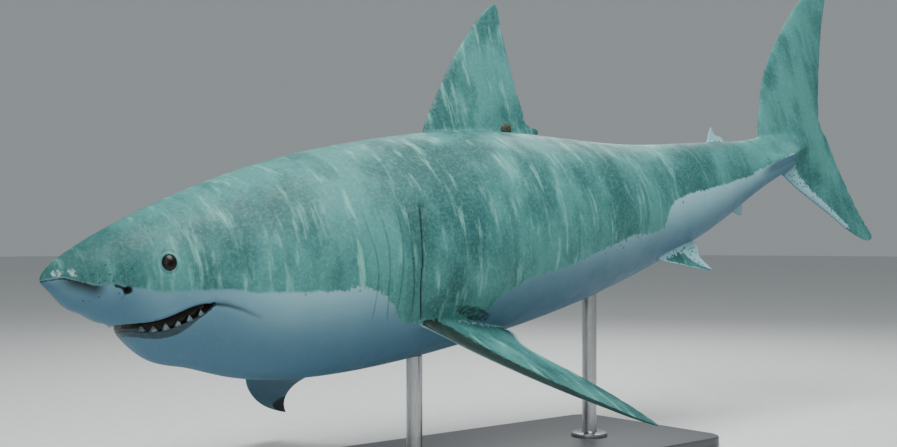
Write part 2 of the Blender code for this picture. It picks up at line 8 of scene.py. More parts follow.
import enum
import logging
import math
from collections.abc import Callable, Sequence
from dataclasses import dataclass, field

import bmesh
import bpy
import numpy as np
from mathutils import Euler, Matrix, Vector, kdtree


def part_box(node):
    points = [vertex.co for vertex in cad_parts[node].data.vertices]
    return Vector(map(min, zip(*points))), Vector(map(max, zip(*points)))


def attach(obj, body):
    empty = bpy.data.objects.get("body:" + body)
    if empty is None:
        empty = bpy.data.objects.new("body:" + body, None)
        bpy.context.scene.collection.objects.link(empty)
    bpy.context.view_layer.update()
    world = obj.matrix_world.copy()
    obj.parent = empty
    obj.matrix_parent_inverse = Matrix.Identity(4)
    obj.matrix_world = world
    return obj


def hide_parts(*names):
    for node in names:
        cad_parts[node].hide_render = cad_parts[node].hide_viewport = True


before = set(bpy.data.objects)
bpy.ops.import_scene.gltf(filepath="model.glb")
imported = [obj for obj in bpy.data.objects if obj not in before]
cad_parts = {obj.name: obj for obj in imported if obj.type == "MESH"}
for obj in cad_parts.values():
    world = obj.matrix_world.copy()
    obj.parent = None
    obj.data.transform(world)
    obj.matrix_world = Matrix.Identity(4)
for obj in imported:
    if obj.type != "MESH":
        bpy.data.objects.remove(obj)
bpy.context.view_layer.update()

Array = np.ndarray
Series = Sequence[float]
Triple = tuple[float, float, float]

MM = 0.001
log = logging.getLogger("shark")


# ---- shared helpers ------------------------------------------------------------------------------------
def spline(xs: Series, ys: Series) -> Callable[[Array], Array]:
    """Makes the natural cubic spline through some points.

    Args:
        xs: places of the points, rising.
        ys: values there.

    Returns:
        A function of an array of places, which holds its end values outside them.
    """
    xs, ys = np.array(xs, float), np.array(ys, float)
    step = np.diff(xs)
    count = len(xs)
    matrix = np.eye(count)
    right = np.zeros(count)
    for i in range(1, count - 1):
        matrix[i, i - 1 : i + 2] = step[i - 1], 2 * (step[i - 1] + step[i]), step[i]
        right[i] = 6 * ((ys[i + 1] - ys[i]) / step[i] - (ys[i] - ys[i - 1]) / step[i - 1])
    bend = np.linalg.solve(matrix, right)

    def value(x: Array) -> Array:
        """The spline's value at x."""
        x = np.clip(x, xs[0], xs[-1])
        i = np.clip(np.searchsorted(xs, x) - 1, 0, count - 2)
        after, before = x - xs[i], xs[i + 1] - x
        cubic = (bend[i] * before**3 + bend[i + 1] * after**3) / (6 * step[i])
        line = (ys[i] / step[i] - bend[i] * step[i] / 6) * before
        return cubic + line + (ys[i + 1] / step[i] - bend[i + 1] * step[i] / 6) * after

    return value


def smooth(value: Array) -> Array:
    """A soft step from 0 to 1 as value goes from 0 to 1."""
    t = np.clip(value, 0.0, 1.0)
    return t * t * (3 - 2 * t)


def bell(value: Array, width: float) -> Array:
    """1 at value 0, fading to nothing within about two widths."""
    return np.exp(-((value / width) ** 2))


def linear(code: str) -> tuple[float, float, float, float]:
    """The linear colour, with alpha, of an sRGB hex value such as "5B8583"."""
    parts = [int(code[k : k + 2], 16) / 255 for k in (0, 2, 4)]
    return (*[c / 12.92 if c <= 0.04045 else ((c + 0.055) / 1.055) ** 2.4 for c in parts], 1.0)


def add_node(tree: bpy.types.NodeTree, kind: str, settings: dict | None = None, inputs: dict | None = None):
    """Adds a node.

    Args:
        tree: where it goes.
        kind: its Blender type.
        settings: its properties, by name; "stops" is a colour ramp's list of (place, colour).
        inputs: socket name or number, and the value it is set to or the socket it is linked from.

    Returns:
        The node.
    """
    made = tree.nodes.new(kind)
    for key, value in (settings or {}).items():
        if key == "stops":
            ramp = made.color_ramp.elements
            while len(ramp) < len(value):
                ramp.new(1.0)
            for element, (place, colour) in zip(ramp, value):
                element.position, element.color = place, colour
        else:
            setattr(made, key, value)
    for key, value in (inputs or {}).items():
        if isinstance(value, bpy.types.NodeSocket):
            tree.links.new(value, made.inputs[key])
        else:
            made.inputs[key].default_value = value
    return made


def new_material(name: str) -> tuple[bpy.types.Material, bpy.types.NodeTree, bpy.types.Node]:
    """A new material with its node tree and its Principled shader."""
    made = bpy.data.materials.new(name)
    made.use_nodes = True
    return made, made.node_tree, made.node_tree.nodes["Principled BSDF"]


def new_object(name: str, points: Array, faces: list, turned_out: bool = True) -> bpy.types.Object:
    """Makes a mesh object at the origin.

    Args:
        name: its name.
        points: places of its vertices, in metres.
        faces: vertex numbers of each face.
        turned_out: whether its faces are turned outwards.

    Returns:
        The object, linked to the scene.
    """
    mesh = bpy.data.meshes.new(name)
    mesh.from_pydata(np.asarray(points).tolist(), [], faces)
    if turned_out:
        work = bmesh.new()
        work.from_mesh(mesh)
        bmesh.ops.recalc_face_normals(work, faces=work.faces)
        work.to_mesh(mesh)
        work.free()
    made = bpy.data.objects.new(name, mesh)
    bpy.context.scene.collection.objects.link(made)
    return made


def finished(source: bpy.types.Object, name: str) -> bpy.types.Object:
    """Turns an object and its live modifiers into a plain mesh object, and removes the first."""
    graph = bpy.context.evaluated_depsgraph_get()
    mesh = bpy.data.meshes.new_from_object(source.evaluated_get(graph), depsgraph=graph)
    bpy.data.objects.remove(source, do_unlink=True)
    mesh.name = name
    made = bpy.data.objects.new(name, mesh)
    bpy.context.scene.collection.objects.link(made)
    return made


def grid_faces(rows: int, count: int, closed: bool = True) -> list[tuple[int, ...]]:
    """The quads of a tube of rings, each of count points, or of an open sheet."""
    faces = []
    for row in range(rows - 1):
        for k in range(count if closed else count - 1):
            after = (k + 1) % count
            low = row * count
            faces.append((low + k, low + after, low + count + after, low + count + k))
    return faces


def tube(rings: Array) -> tuple[Array, list]:
    """Points and faces of a closed tube, capped at both ends, through rings of equal count."""
    rows, count = rings.shape[:2]
    faces = grid_faces(rows, count)
    last = (rows - 1) * count
    faces += [tuple(range(last, last + count)), tuple(range(count - 1, -1, -1))]
    return rings.reshape(-1, 3), faces


def dressed(obj: bpy.types.Object, finish: bpy.types.Material, angle: float = 60.0) -> bpy.types.Object:
    """Gives an object its one material and smooth shading, with edges over angle degrees kept sharp."""
    obj.data.materials.clear()
    obj.data.materials.append(finish)
    obj.data.shade_smooth()
    obj.data.set_sharp_from_angle(angle=math.radians(angle))
    return obj


def set_attribute(obj: bpy.types.Object, name: str, values: Array) -> None:
    """Stores a number or a vector for each vertex of an object."""
    kind, key = ("FLOAT_VECTOR", "vector") if values.ndim == 2 else ("FLOAT", "value")
    made = obj.data.attributes.new(name, kind, "POINT")
    made.data.foreach_set(key, values.astype(np.float32).ravel())


# ---- the body's form -----------------------------------------------------------------------------------
@dataclass
class Spine:
    """The bent and banked line that the body is built on, in fractions of the length.

    A place on the body is (s, y, z): s runs from the snout to the tip of the tail, y is to the shark's left
    and z to its back.
    """

    length: float = 3.6
    centre: Triple = (-0.2883, -0.0488, 0.720)
    pivot: float = 0.4
    pitch: float = -7.35
    bank: float = -7.4
    heading_at: Series = (0.0, 0.1, 0.2, 0.36, 0.5, 0.7, 0.85, 1.0)
    heading: Series = (3.9, 4.0, 3.3, 0.0, -2.3, -2.7, -4.4, -7.2)
    bend_rate: float = 0.209
    tail_lift: float = 0.15
    tail_lift_from: float = 0.6

    def __post_init__(self) -> None:
        """Samples the line and its direction."""
        self.s = np.linspace(0, 1, 401)
        self.yaw = np.radians(spline(self.heading_at, self.heading)(self.s))
        past = np.maximum(self.s - self.tail_lift_from, 0)
        self.lift = self.bend_rate * (self.s - self.pivot) + self.tail_lift * past**2
        tangent = self.axes(self.s)[0]
        line = np.zeros((len(self.s), 3))
        line[1:] = np.cumsum((tangent[1:] + tangent[:-1]) / 2 * (self.s[1] - self.s[0]), axis=0)
        self.line = line - [np.interp(self.pivot, self.s, line[:, k]) for k in range(3)]
        self.turn = np.array(Euler((math.radians(self.bank), math.radians(self.pitch), 0)).to_matrix())

    def axes(self, s: Array) -> tuple[Array, Array, Array]:
        """Unit vectors to the tail, the left and the back at s, before the bank and pitch."""
        yaw, lift = np.interp(s, self.s, self.yaw), np.interp(s, self.s, self.lift)
        tail = np.stack([np.cos(yaw) * np.cos(lift), np.sin(yaw) * np.cos(lift), np.sin(lift)], -1)
        left = np.stack([np.sin(yaw), -np.cos(yaw), 0 * yaw], -1)
        back = np.stack([-np.cos(yaw) * np.sin(lift), -np.sin(yaw) * np.sin(lift), np.cos(lift)], -1)
        return tail, left, back

    def directions(self, s: Array) -> tuple[Array, Array, Array]:
        """World unit vectors to the tail, the left and the back at s."""
        return tuple(axis @ self.turn.T for axis in self.axes(s))

    def middle(self, s: Array) -> Array:
        """The line's points at s, before the bank and pitch."""
        return np.stack([np.interp(s, self.s, self.line[:, k]) for k in range(3)], -1)

    def place(self, s: Array, y: Array, z: Array) -> Array:
        """World points of body coordinates."""
        s, y, z = np.broadcast_arrays(np.asarray(s, float), y, z)
        _, left, back = self.axes(s)
        straight = self.middle(s) + y[..., None] * left + z[..., None] * back
        return straight * self.length @ self.turn.T + self.centre

    def locate(self, points: Array) -> tuple[Array, Array, Array]:
        """Body coordinates (s, y, z) of world points."""
        straight = (points - self.centre) @ self.turn / self.length
        s = np.clip(straight[:, 0] + self.pivot, 0, 1)
        for _ in range(8):
            s = np.clip(s + np.sum((straight - self.middle(s)) * self.axes(s)[0], -1), 0, 1)
        off = straight - self.middle(s)
        _, left, back = self.axes(s)
        return s, np.sum(off * left, -1), np.sum(off * back, -1)


@dataclass
class BodyForm:
    """Sections of the body along its spine, as fractions of the length."""

    spine: Spine
    stations: Series = (0.0, 0.01, 0.03, 0.07, 0.13, 0.21, 0.30, 0.40, 0.50, 0.60, 0.70, 0.78, 0.84, 0.875)
    back: Series = (0, 0.0120, 0.0235, 0.0411, 0.0613, 0.0792, 0.0879, 0.0870, 0.0710, 0.0527, 0.0406, 0.0307, 0.0281, 0.0240)
    belly_stations: Series = (
        0.0, 0.01, 0.018, 0.028, 0.038, 0.048, 0.058, 0.07, 0.10, 0.13, 0.21, 0.30, 0.40, 0.50, 0.60, 0.70, 0.78, 0.84,
        0.875,
    )  # fmt: skip
    belly: Series = (
        0.0, 0.0122, 0.0203, 0.0248, 0.0306, 0.0345, 0.0458, 0.0583, 0.0691, 0.0794, 0.0922, 0.0930, 0.0880, 0.0786,
        0.0637, 0.0435, 0.0227, 0.0120, 0.0060,
    )  # fmt: skip
    breadth: Series = (0, 0.0094, 0.0210, 0.0374, 0.0580, 0.0756, 0.0851, 0.0851, 0.0731, 0.0541, 0.0367, 0.0200, 0.0100, 0.0036)
    widest_share: float = 0.3
    keel_middle: float = 0.815
    keel_reach: float = 0.060
    keel_height: float = 0.0125
    keel_spread: float = 0.30
    around: int = 160
    # where each run of rings ends, and how far apart its rings are, m
    runs: Sequence[tuple[float, float]] = (
        (0.110, 4.2 * MM),
        (0.212, 8.5 * MM),
        (0.270, 3.6 * MM),
        (0.840, 18.0 * MM),
        (0.873, 5.0 * MM),
    )

    def __post_init__(self) -> None:
        """Fits the splines over the root of s, so that the snout's tip comes out round."""
        root = np.sqrt(self.stations)
        self.top_at = spline(root, self.back)
        self.bottom_at = spline(np.sqrt(self.belly_stations), self.belly)
        self.half_at = spline(root, self.breadth)

    def limits(self, s: Array) -> tuple[Array, Array, Array, Array]:
        """Height of the back, of the belly and of the widest line, and half the breadth, at s."""
        root = np.sqrt(np.maximum(s, 0))
        top, bottom = self.top_at(root), -self.bottom_at(root)
        return top, bottom, self.widest_share * (top + bottom), self.half_at(root)

    def keel(self, s: Array, away: Array) -> Array:
        """How far the tail's side keel stands out at s, at an angle away from the widest line."""
        off = np.clip(np.abs(s - self.keel_middle) / self.keel_reach, 0, 1)
        return self.keel_height * np.cos(off * math.pi / 2) ** 2 * bell(away, self.keel_spread)

    def section(self, s: Array, angle: Array) -> tuple[Array, Array]:
        """(y, z) of the skin at s; angle 0 is the left side and a quarter turn is the back."""
        top, bottom, middle, half = self.limits(s)
        side, rise = np.cos(angle), np.sin(angle)
        away = np.arctan2(np.abs(rise), np.abs(side))
        z = middle + rise * np.where(rise > 0, top - middle, middle - bottom)
        return half * side + np.sign(side) * self.keel(s, away), z

    def flank(self, s: Array, z: Array) -> Array:
        """Half the body's breadth at s and height z, without the keel."""
        top, bottom, middle, half = self.limits(s)
        reach = (z - middle) / np.where(z > middle, top - middle, middle - bottom)
        return half * np.sqrt(np.maximum(0, 1 - reach * reach))

    def off_skin(self, s: Array, y: Array, z: Array) -> Array:
        """About how far a point is outside the skin, as a fraction of the length."""
        top, bottom, middle, half = self.limits(s)
        tall = np.where(z > middle, top - middle, middle - bottom)
        away = np.arctan2(np.abs(z - middle) / tall, np.abs(y) / half)
        wide = half + self.keel(s, away)
        reach = np.hypot(y / wide, (z - middle) / tall)
        return (1 - 1 / np.maximum(reach, 0.05)) * np.hypot(y, z - middle)

    def rings(self) -> tuple[Array, Array]:
        """Stations of the skin's rings, and the rings' world points."""
        stations = [0.0]
        for end, step in self.runs:
            count = max(2, round((end - stations[-1]) * self.spine.length / step))
            stations += list(np.linspace(stations[-1], end, count + 1)[1:])
        crowded = [stations[1] * share for share in (0.02, 0.10, 0.25, 0.45, 0.70)]
        s = np.array(crowded + stations[1:])
        angle = np.arange(self.around) * (2 * math.pi / self.around)
        y, z = self.section(s[:, None], angle[None, :])
        return s, self.spine.place(s[:, None], y, z)


@dataclass
class Mouth:
    """The gape: heights of the two lips along the jaw, and the hollow between them."""

    body: BodyForm
    at: Series = (0.0440, 0.0543, 0.0622, 0.0774, 0.0946, 0.1010)
    upper: Series = (-0.0333, -0.0345, -0.0348, -0.0314, -0.0274, -0.0281)
    lower: Series = (-0.0385, -0.0410, -0.0438, -0.0430, -0.0343, -0.0287)
    jaw_front: float = 0.0500  # no chin before this
    arch: float = 30 * MM
    sunk: float = 5 * MM
    gum: float = 11 * MM  # how far the gum stands above the lip
    gum_in: float = 9 * MM  # and how far inside the lip it runs
    deep: float = 20 * MM  # how far inside the lips the tongue fills the mouth
    wall: float = 9 * MM  # least thickness of the jaw under the mouth's floor

    def __post_init__(self) -> None:
        """Fits the lips."""
        self.roof_at, self.floor_at = spline(self.at, self.upper), spline(self.at, self.lower)

    def outline(self) -> tuple[Array, Array]:
        """The lips' outline seen from above: s, and half the width there."""
        s = np.linspace(self.at[0], self.at[-1], 70)
        return s, self.body.flank(s, (self.roof_at(s) + self.floor_at(s)) / 2)

    def inward(self, s: Array, y: Array) -> Array:
        """How far inside the lips a point is, seen from above, m; negative outside."""
        at, edge = self.outline()
        gap, _ = segment_distance(s, np.abs(y), list(zip(at, edge)))
        return np.where(np.abs(y) < np.interp(s, at, edge), gap, -gap) * self.body.spine.length

    def gape(self, s: Array, y: Array) -> tuple[Array, Array]:
        """Heights of the hollow's floor and roof at s and y."""
        length = self.body.spine.length
        lip, roof = self.floor_at(s), self.roof_at(s)
        inward = self.inward(s, y)
        taper = smooth((self.at[-1] - s) / 0.02)
        rise = self.gum * bell(inward - self.gum_in, 5 * MM) - self.sunk * smooth((inward - 13 * MM) / (5 * MM))
        _, bottom, middle, half = self.body.limits(s)
        under = middle - (middle - bottom) * np.sqrt(np.maximum(0, 1 - (y / half) ** 2))
        least = np.minimum(under + self.wall / length * smooth(inward / (6 * MM)), lip)
        floor = np.maximum(lip + rise * taper / length, least)
        floor = np.where(s < self.jaw_front, -0.09, floor)
        return floor, roof + self.arch / length * smooth((inward - 1 * MM) / (16 * MM)) * taper

    def cutter(self) -> bpy.types.Object:
        """The closed solid that opens the mouth."""
        s = np.concatenate([[self.at[0] - 0.0002, self.jaw_front - 0.0001], np.linspace(self.jaw_front, self.at[-1], 60)])
        y = np.linspace(-0.062, 0.062, 137)
        s, y = np.meshgrid(s, y, indexing="ij")
        floor, roof = self.gape(s, y)
        place = self.body.spine.place
        loops = np.concatenate([place(s, y, roof), place(s, y, floor)[:, ::-1]], axis=1)
        return new_object("mouth_cutter", *tube(loops))


    def tongue(self) -> bpy.types.Object:
        """The closed solid that fills the mouth's middle, from its floor to its roof."""
        length = self.body.spine.length
        at, edge = self.outline()
        s = np.linspace(self.jaw_front + 0.0015, self.at[-1] + 0.006, 40)
        edge = np.interp(s, at, edge)
        half = np.maximum(edge - self.deep / length, edge * (0.93 - 0.43 * smooth((s - 0.056) / 0.009)))
        turn = np.arange(28) * (2 * math.pi / 28)
        y = half[:, None] * np.cos(turn)
        _, bottom, middle, wide = (value[:, None] for value in self.body.limits(s))
        under = middle - (middle - bottom) * np.sqrt(np.maximum(0, 1 - (y / wide) ** 2))
        low, high = (self.floor_at(s) - 0.005)[:, None], (self.roof_at(s) + 0.012)[:, None]
        z = (high + low) / 2 + (high - low) / 2 * np.clip(np.sin(turn) * 1.6, -1, 1)
        return new_object("tongue_form", *tube(self.body.spine.place(s[:, None], y, np.maximum(z, under + 0.0008))))


@dataclass
class Fin:
    """A fin as a loft of thin sections. Lengths along the body are fractions of its length."""

    name: str
    spine: Spine
    rows: int
    thick: tuple[float, float]
    points_across: int = 15
    edge: float = 1.6 * MM
    flare: float = 0.55  # how much thicker the foot is, where it runs into the body
    flare_reach: float = 0.10

    def shares(self) -> Array:
        """Places of the sections from the foot to the tip, closer at both ends."""
        t = np.linspace(0, 1, self.rows)
        return t + 0.10 * np.sin(2 * math.pi * t) * -1 / math.pi

    def blade(self, front: Array, rear: Array, normal: Array, t: Array) -> Array:
        """Rings of the fin from its front and rear edges: rounded in front, thin behind."""
        x = (1 - np.cos(np.pi * np.arange(self.points_across + 1) / self.points_across)) / 2
        thick = self.thick[0] + (self.thick[1] - self.thick[0]) * t**0.8
        thick = thick * (1 + self.flare * bell(t, self.flare_reach))
        half = np.maximum(1.3 * thick[:, None] * np.sqrt(x) * (1 - x), self.edge / 2)
        chord = front[:, None] + (rear - front)[:, None] * x[None, :, None]
        lift = normal[:, None] * half[..., None]
        return np.concatenate([chord + lift, (chord - lift)[:, ::-1]], axis=1)

    def rings(self) -> tuple[Array, Array]:
        """The sections' world points and each section's share of the way to the tip."""
        raise NotImplementedError

    def chord_share(self) -> Array:
        """How far back each point of a ring is, 0 at the front edge and 1 at the rear."""
        x = (1 - np.cos(np.pi * np.arange(self.points_across + 1) / self.points_across)) / 2
        return np.concatenate([x, x[::-1]])


@dataclass
class MedianFin(Fin):
    """A fin on the body's middle plane, from its outline."""

    heights: Series = ()
    fronts: Series = ()
    rears: Series = ()
    ragged: float = 0.0  # how deep the nicks of the rear edge are
    notch: tuple[float, float] = (0.0, 0.0)  # share and depth of a notch in the rear edge

    def rings(self) -> tuple[Array, Array]:
        """The sections' world points and each section's share of the way to the tip."""
        share = np.linspace(0, 1, len(self.heights))
        t = self.shares()
        z = spline(share, self.heights)(t)
        rear = spline(share, self.rears)(t)
        nicks = np.abs(np.sin(t * 61.0) * np.sin(t * 37.0 + 1.0)) ** 3 * smooth(t / 0.25)
        rear = rear - self.ragged * nicks - self.notch[1] * bell(t - self.notch[0], 0.022)
        fore = self.spine.place(spline(share, self.fronts)(t), 0, z)
        return self.blade(fore, self.spine.place(rear, 0, z), self.spine.directions(rear)[1], t), t


@dataclass
class PairedFin(Fin):
    """A fin that comes out of one flank, drooping, swept and tapering; angles in degrees."""

    body: BodyForm | None = None
    side: int = 1
    root: tuple[float, float] = (0.0, 0.0)
    dihedral: Triple = (0.0, 0.0, 0.0)  # droop at the root, half way and at the tip
    yaw: float = 0.0
    incidence: tuple[float, float] = (0.0, 0.0)
    span: float = 0.1
    share: Series = ()
    fronts: Series = ()
    rears: Series = ()
    bites: Sequence[tuple[float, float, float]] = ()  # share, depth and half width of nicks behind
    sunk: float = 0.16

    def rings(self) -> tuple[Array, Array]:
        """The sections' world points and each section's share of the way to the tip."""
        s, z = self.root
        start = self.spine.place(s, self.side * self.body.flank(s, z) * 0.92, z)
        tail, left, back = self.spine.directions(np.array(s))
        out = left * self.side
        yaw = math.radians(self.yaw)
        across = out * math.cos(yaw) + tail * math.sin(yaw)
        rearward = tail * math.cos(yaw) - out * math.sin(yaw)
        t = self.shares()
        t = np.concatenate([[-self.sunk, -self.sunk / 2], t])
        droop = self.droop(t)
        normal = across * np.sin(droop)[:, None] + back * np.cos(droop)[:, None]
        held = np.clip(t, 0, 1)
        tilt = np.radians(self.incidence[0] + (self.incidence[1] - self.incidence[0]) * held)[:, None]
        chord = rearward * np.cos(tilt) - normal * np.sin(tilt)
        lifted = normal * np.cos(tilt) + rearward * np.sin(tilt)
        place = start + self.walk(t, across, back)
        rear = spline(self.share, self.rears)(held)
        for at, depth, half in self.bites:
            rear = rear - depth * bell(t - at, half)
        length = self.spine.length
        fore = place + chord * (spline(self.share, self.fronts)(held) * length)[:, None]
        return self.blade(fore, place + chord * (rear * length)[:, None], lifted, held), t

    def droop(self, t: Array) -> Array:
        """How far the fin hangs below the shark's level at each share of its span, in radians."""
        t = np.clip(t, 0, 1)
        root, middle, tip = self.dihedral
        return np.radians(root + (tip - root) * t + (4 * middle - 2 * (root + tip)) * t * (1 - t))

    def walk(self, t: Array, across: Array, back: Array) -> Array:
        """Offsets of the sections from the root, along the drooping span."""
        fine = np.linspace(0, 1, 201)
        droop = self.droop(fine)
        along = across * np.cos(droop)[:, None] - back * np.sin(droop)[:, None]
        step = self.span * self.spine.length * (fine[1] - fine[0])
        path = np.zeros((len(fine), 3))
        path[1:] = np.cumsum((along[1:] + along[:-1]) / 2 * step, axis=0)
        found = np.stack([np.interp(t, fine, path[:, k]) for k in range(3)], -1)
        inward = np.minimum(t, 0)[:, None] * self.span * self.spine.length
        return found + inward * along[0]


PECTORAL_SHARE = (0.0, 0.12, 0.25, 0.40, 0.55, 0.70, 0.85, 0.95, 1.0)
PECTORAL_FRONT = (0.0, 0.0068, 0.0123, 0.0222, 0.0363, 0.0568, 0.0857, 0.1101, 0.127)
PECTORAL_REAR = (0.070, 0.1145, 0.1047, 0.1044, 0.1106, 0.1184, 0.1260, 0.1300, 0.131)
PELVIC_SHARE = (0.0, 0.20, 0.45, 0.70, 0.90, 1.0)
PELVIC_FRONT = (0.0, 0.014, 0.032, 0.048, 0.060, 0.067)
PELVIC_REAR = (0.052, 0.074, 0.068, 0.066, 0.068, 0.069)


def make_fins(body: BodyForm) -> list[Fin]:
    """The nine fins, with the outlines of the solids."""
    spine = body.spine
    pectoral = {"share": PECTORAL_SHARE, "fronts": PECTORAL_FRONT, "rears": PECTORAL_REAR}
    pelvic = {"share": PELVIC_SHARE, "fronts": PELVIC_FRONT, "rears": PELVIC_REAR, "root": (0.569, -0.057)}
    pelvic |= {"yaw": 34.5, "incidence": (-26.7, -26.7), "span": 0.043}
    dorsal = MedianFin(
        "dorsal_fin", spine, 62, (40 * MM, 6 * MM), 20, ragged=0.0022,
        heights=(0.060, 0.078, 0.0865, 0.100, 0.1200, 0.1500, 0.1723, 0.1890, 0.1960, 0.1986),
        fronts=(0.338, 0.345, 0.3510, 0.3605, 0.3765, 0.4021, 0.4258, 0.4460, 0.4570, 0.4640),
        rears=(0.464, 0.4900, 0.4780, 0.4755, 0.4722, 0.4705, 0.4690, 0.4692, 0.4695, 0.4680),
    )  # fmt: skip
    upper_lobe = MedianFin(
        "tail_upper_lobe", spine, 60, (36 * MM, 5 * MM), 18, flare=0.0, ragged=0.0012, notch=(0.90, 0.0045),
        heights=(0.0180, 0.0342, 0.0608, 0.0962, 0.1267, 0.1481, 0.1625, 0.1750, 0.1820, 0.1845),
        fronts=(0.7950, 0.8000, 0.8120, 0.8352, 0.8702, 0.9023, 0.9288, 0.9570, 0.9750, 0.9860),
        rears=(0.9073, 0.9076, 0.9180, 0.9357, 0.9532, 0.9680, 0.9782, 0.9862, 0.9910, 0.9925),
    )  # fmt: skip
    lower_lobe = MedianFin(
        "tail_lower_lobe", spine, 52, (36 * MM, 5 * MM), 18, flare=0.0, ragged=0.0012,
        heights=(0.0270, 0.0, -0.0141, -0.0368, -0.0584, -0.0805, -0.0970, -0.1110, -0.1165, -0.1190),
        fronts=(0.7985, 0.8080, 0.8193, 0.8412, 0.8640, 0.8866, 0.9021, 0.9186, 0.9260, 0.9320),
        rears=(0.9060, 0.9107, 0.9128, 0.9170, 0.9222, 0.9278, 0.9335, 0.9390, 0.9400, 0.9385),
    )  # fmt: skip
    second = MedianFin(
        "second_dorsal_fin", spine, 22, (10 * MM, 3 * MM), 12,
        heights=(0.028, 0.0385, 0.0430, 0.0480, 0.0525), fronts=(0.7060, 0.7150, 0.7190, 0.7235, 0.7275),
        rears=(0.7400, 0.7435, 0.7335, 0.7300, 0.7290),
    )  # fmt: skip
    anal = MedianFin(
        "anal_fin", spine, 22, (10 * MM, 3 * MM), 12,
        heights=(-0.0240, -0.0330, -0.0370, -0.0400, -0.0430), fronts=(0.7160, 0.7235, 0.7290, 0.7345, 0.7400),
        rears=(0.7440, 0.7490, 0.7465, 0.7450, 0.7440),
    )  # fmt: skip
    left = PairedFin(
        "pectoral_fin_left", spine, 60, (34 * MM, 4 * MM), 18, body=body, root=(0.2648, -0.062),
        dihedral=(34.7, 35.3, 42.4), yaw=14.8, incidence=(5.8, 7.3), span=0.1702,
        bites=((0.80, 0.0016, 0.012), (0.88, 0.0012, 0.010)), **pectoral,
    )  # fmt: skip
    right = PairedFin(
        "pectoral_fin_right", spine, 60, (34 * MM, 4 * MM), 18, body=body, side=-1, root=(0.264, -0.060),
        dihedral=(8.0, 8.0, 58.0), yaw=-29.5, incidence=(18.7, 25.9), span=0.1692, **pectoral,
    )  # fmt: skip
    pelvics = [
        PairedFin(
            f"pelvic_fin_{label}", spine, 26, (14 * MM, 3 * MM), 12, body=body, side=side, dihedral=droop, **pelvic
        )
        for side, label, droop in ((1, "left", (69.0, 65.7, 62.5)), (-1, "right", (44.0, 41.0, 38.0)))
    ]
    return [dorsal, second, anal, upper_lobe, lower_lobe, left, right, *pelvics]


# ---- finishes ------------------------------------------------------------------------------------------
class Mark(enum.Enum):
    """What each painted attribute of the skin holds for its shader."""

    LIE = "hide_lie"  # the body's own coordinates, m, so that patterns follow it
    BORDER = "hide_border"  # how far above the edge of the slate a point is, m
    SPECKLE = "hide_speckle"  # how spotted that edge is there, 0 to 1
    LINING = "mouth_lining"  # 1 inside the mouth
    DARK = "dark_mark"  # over 0.5 in the dark marks of fins and flank, and in painted shade along the nostril's groove
    PALE = "pale_mark"  # over 0.5 in pale spots and edges, with painted light among them: patches at the snout's tip and a highlight on the pectoral fins' rear edges
    PORES = "snout_pores"  # 1 where the snout's sense pores are thick
    SHADE = "slit_shade"  # painted shade: 1 down in slits, nostrils and folds, round the eye and under the snout's slate edge
    RIM = "eye_rim"  # 1 on the lid's edge
    UNDER = "hide_under"  # painted shade: 1 where the skin faces down, away from the light
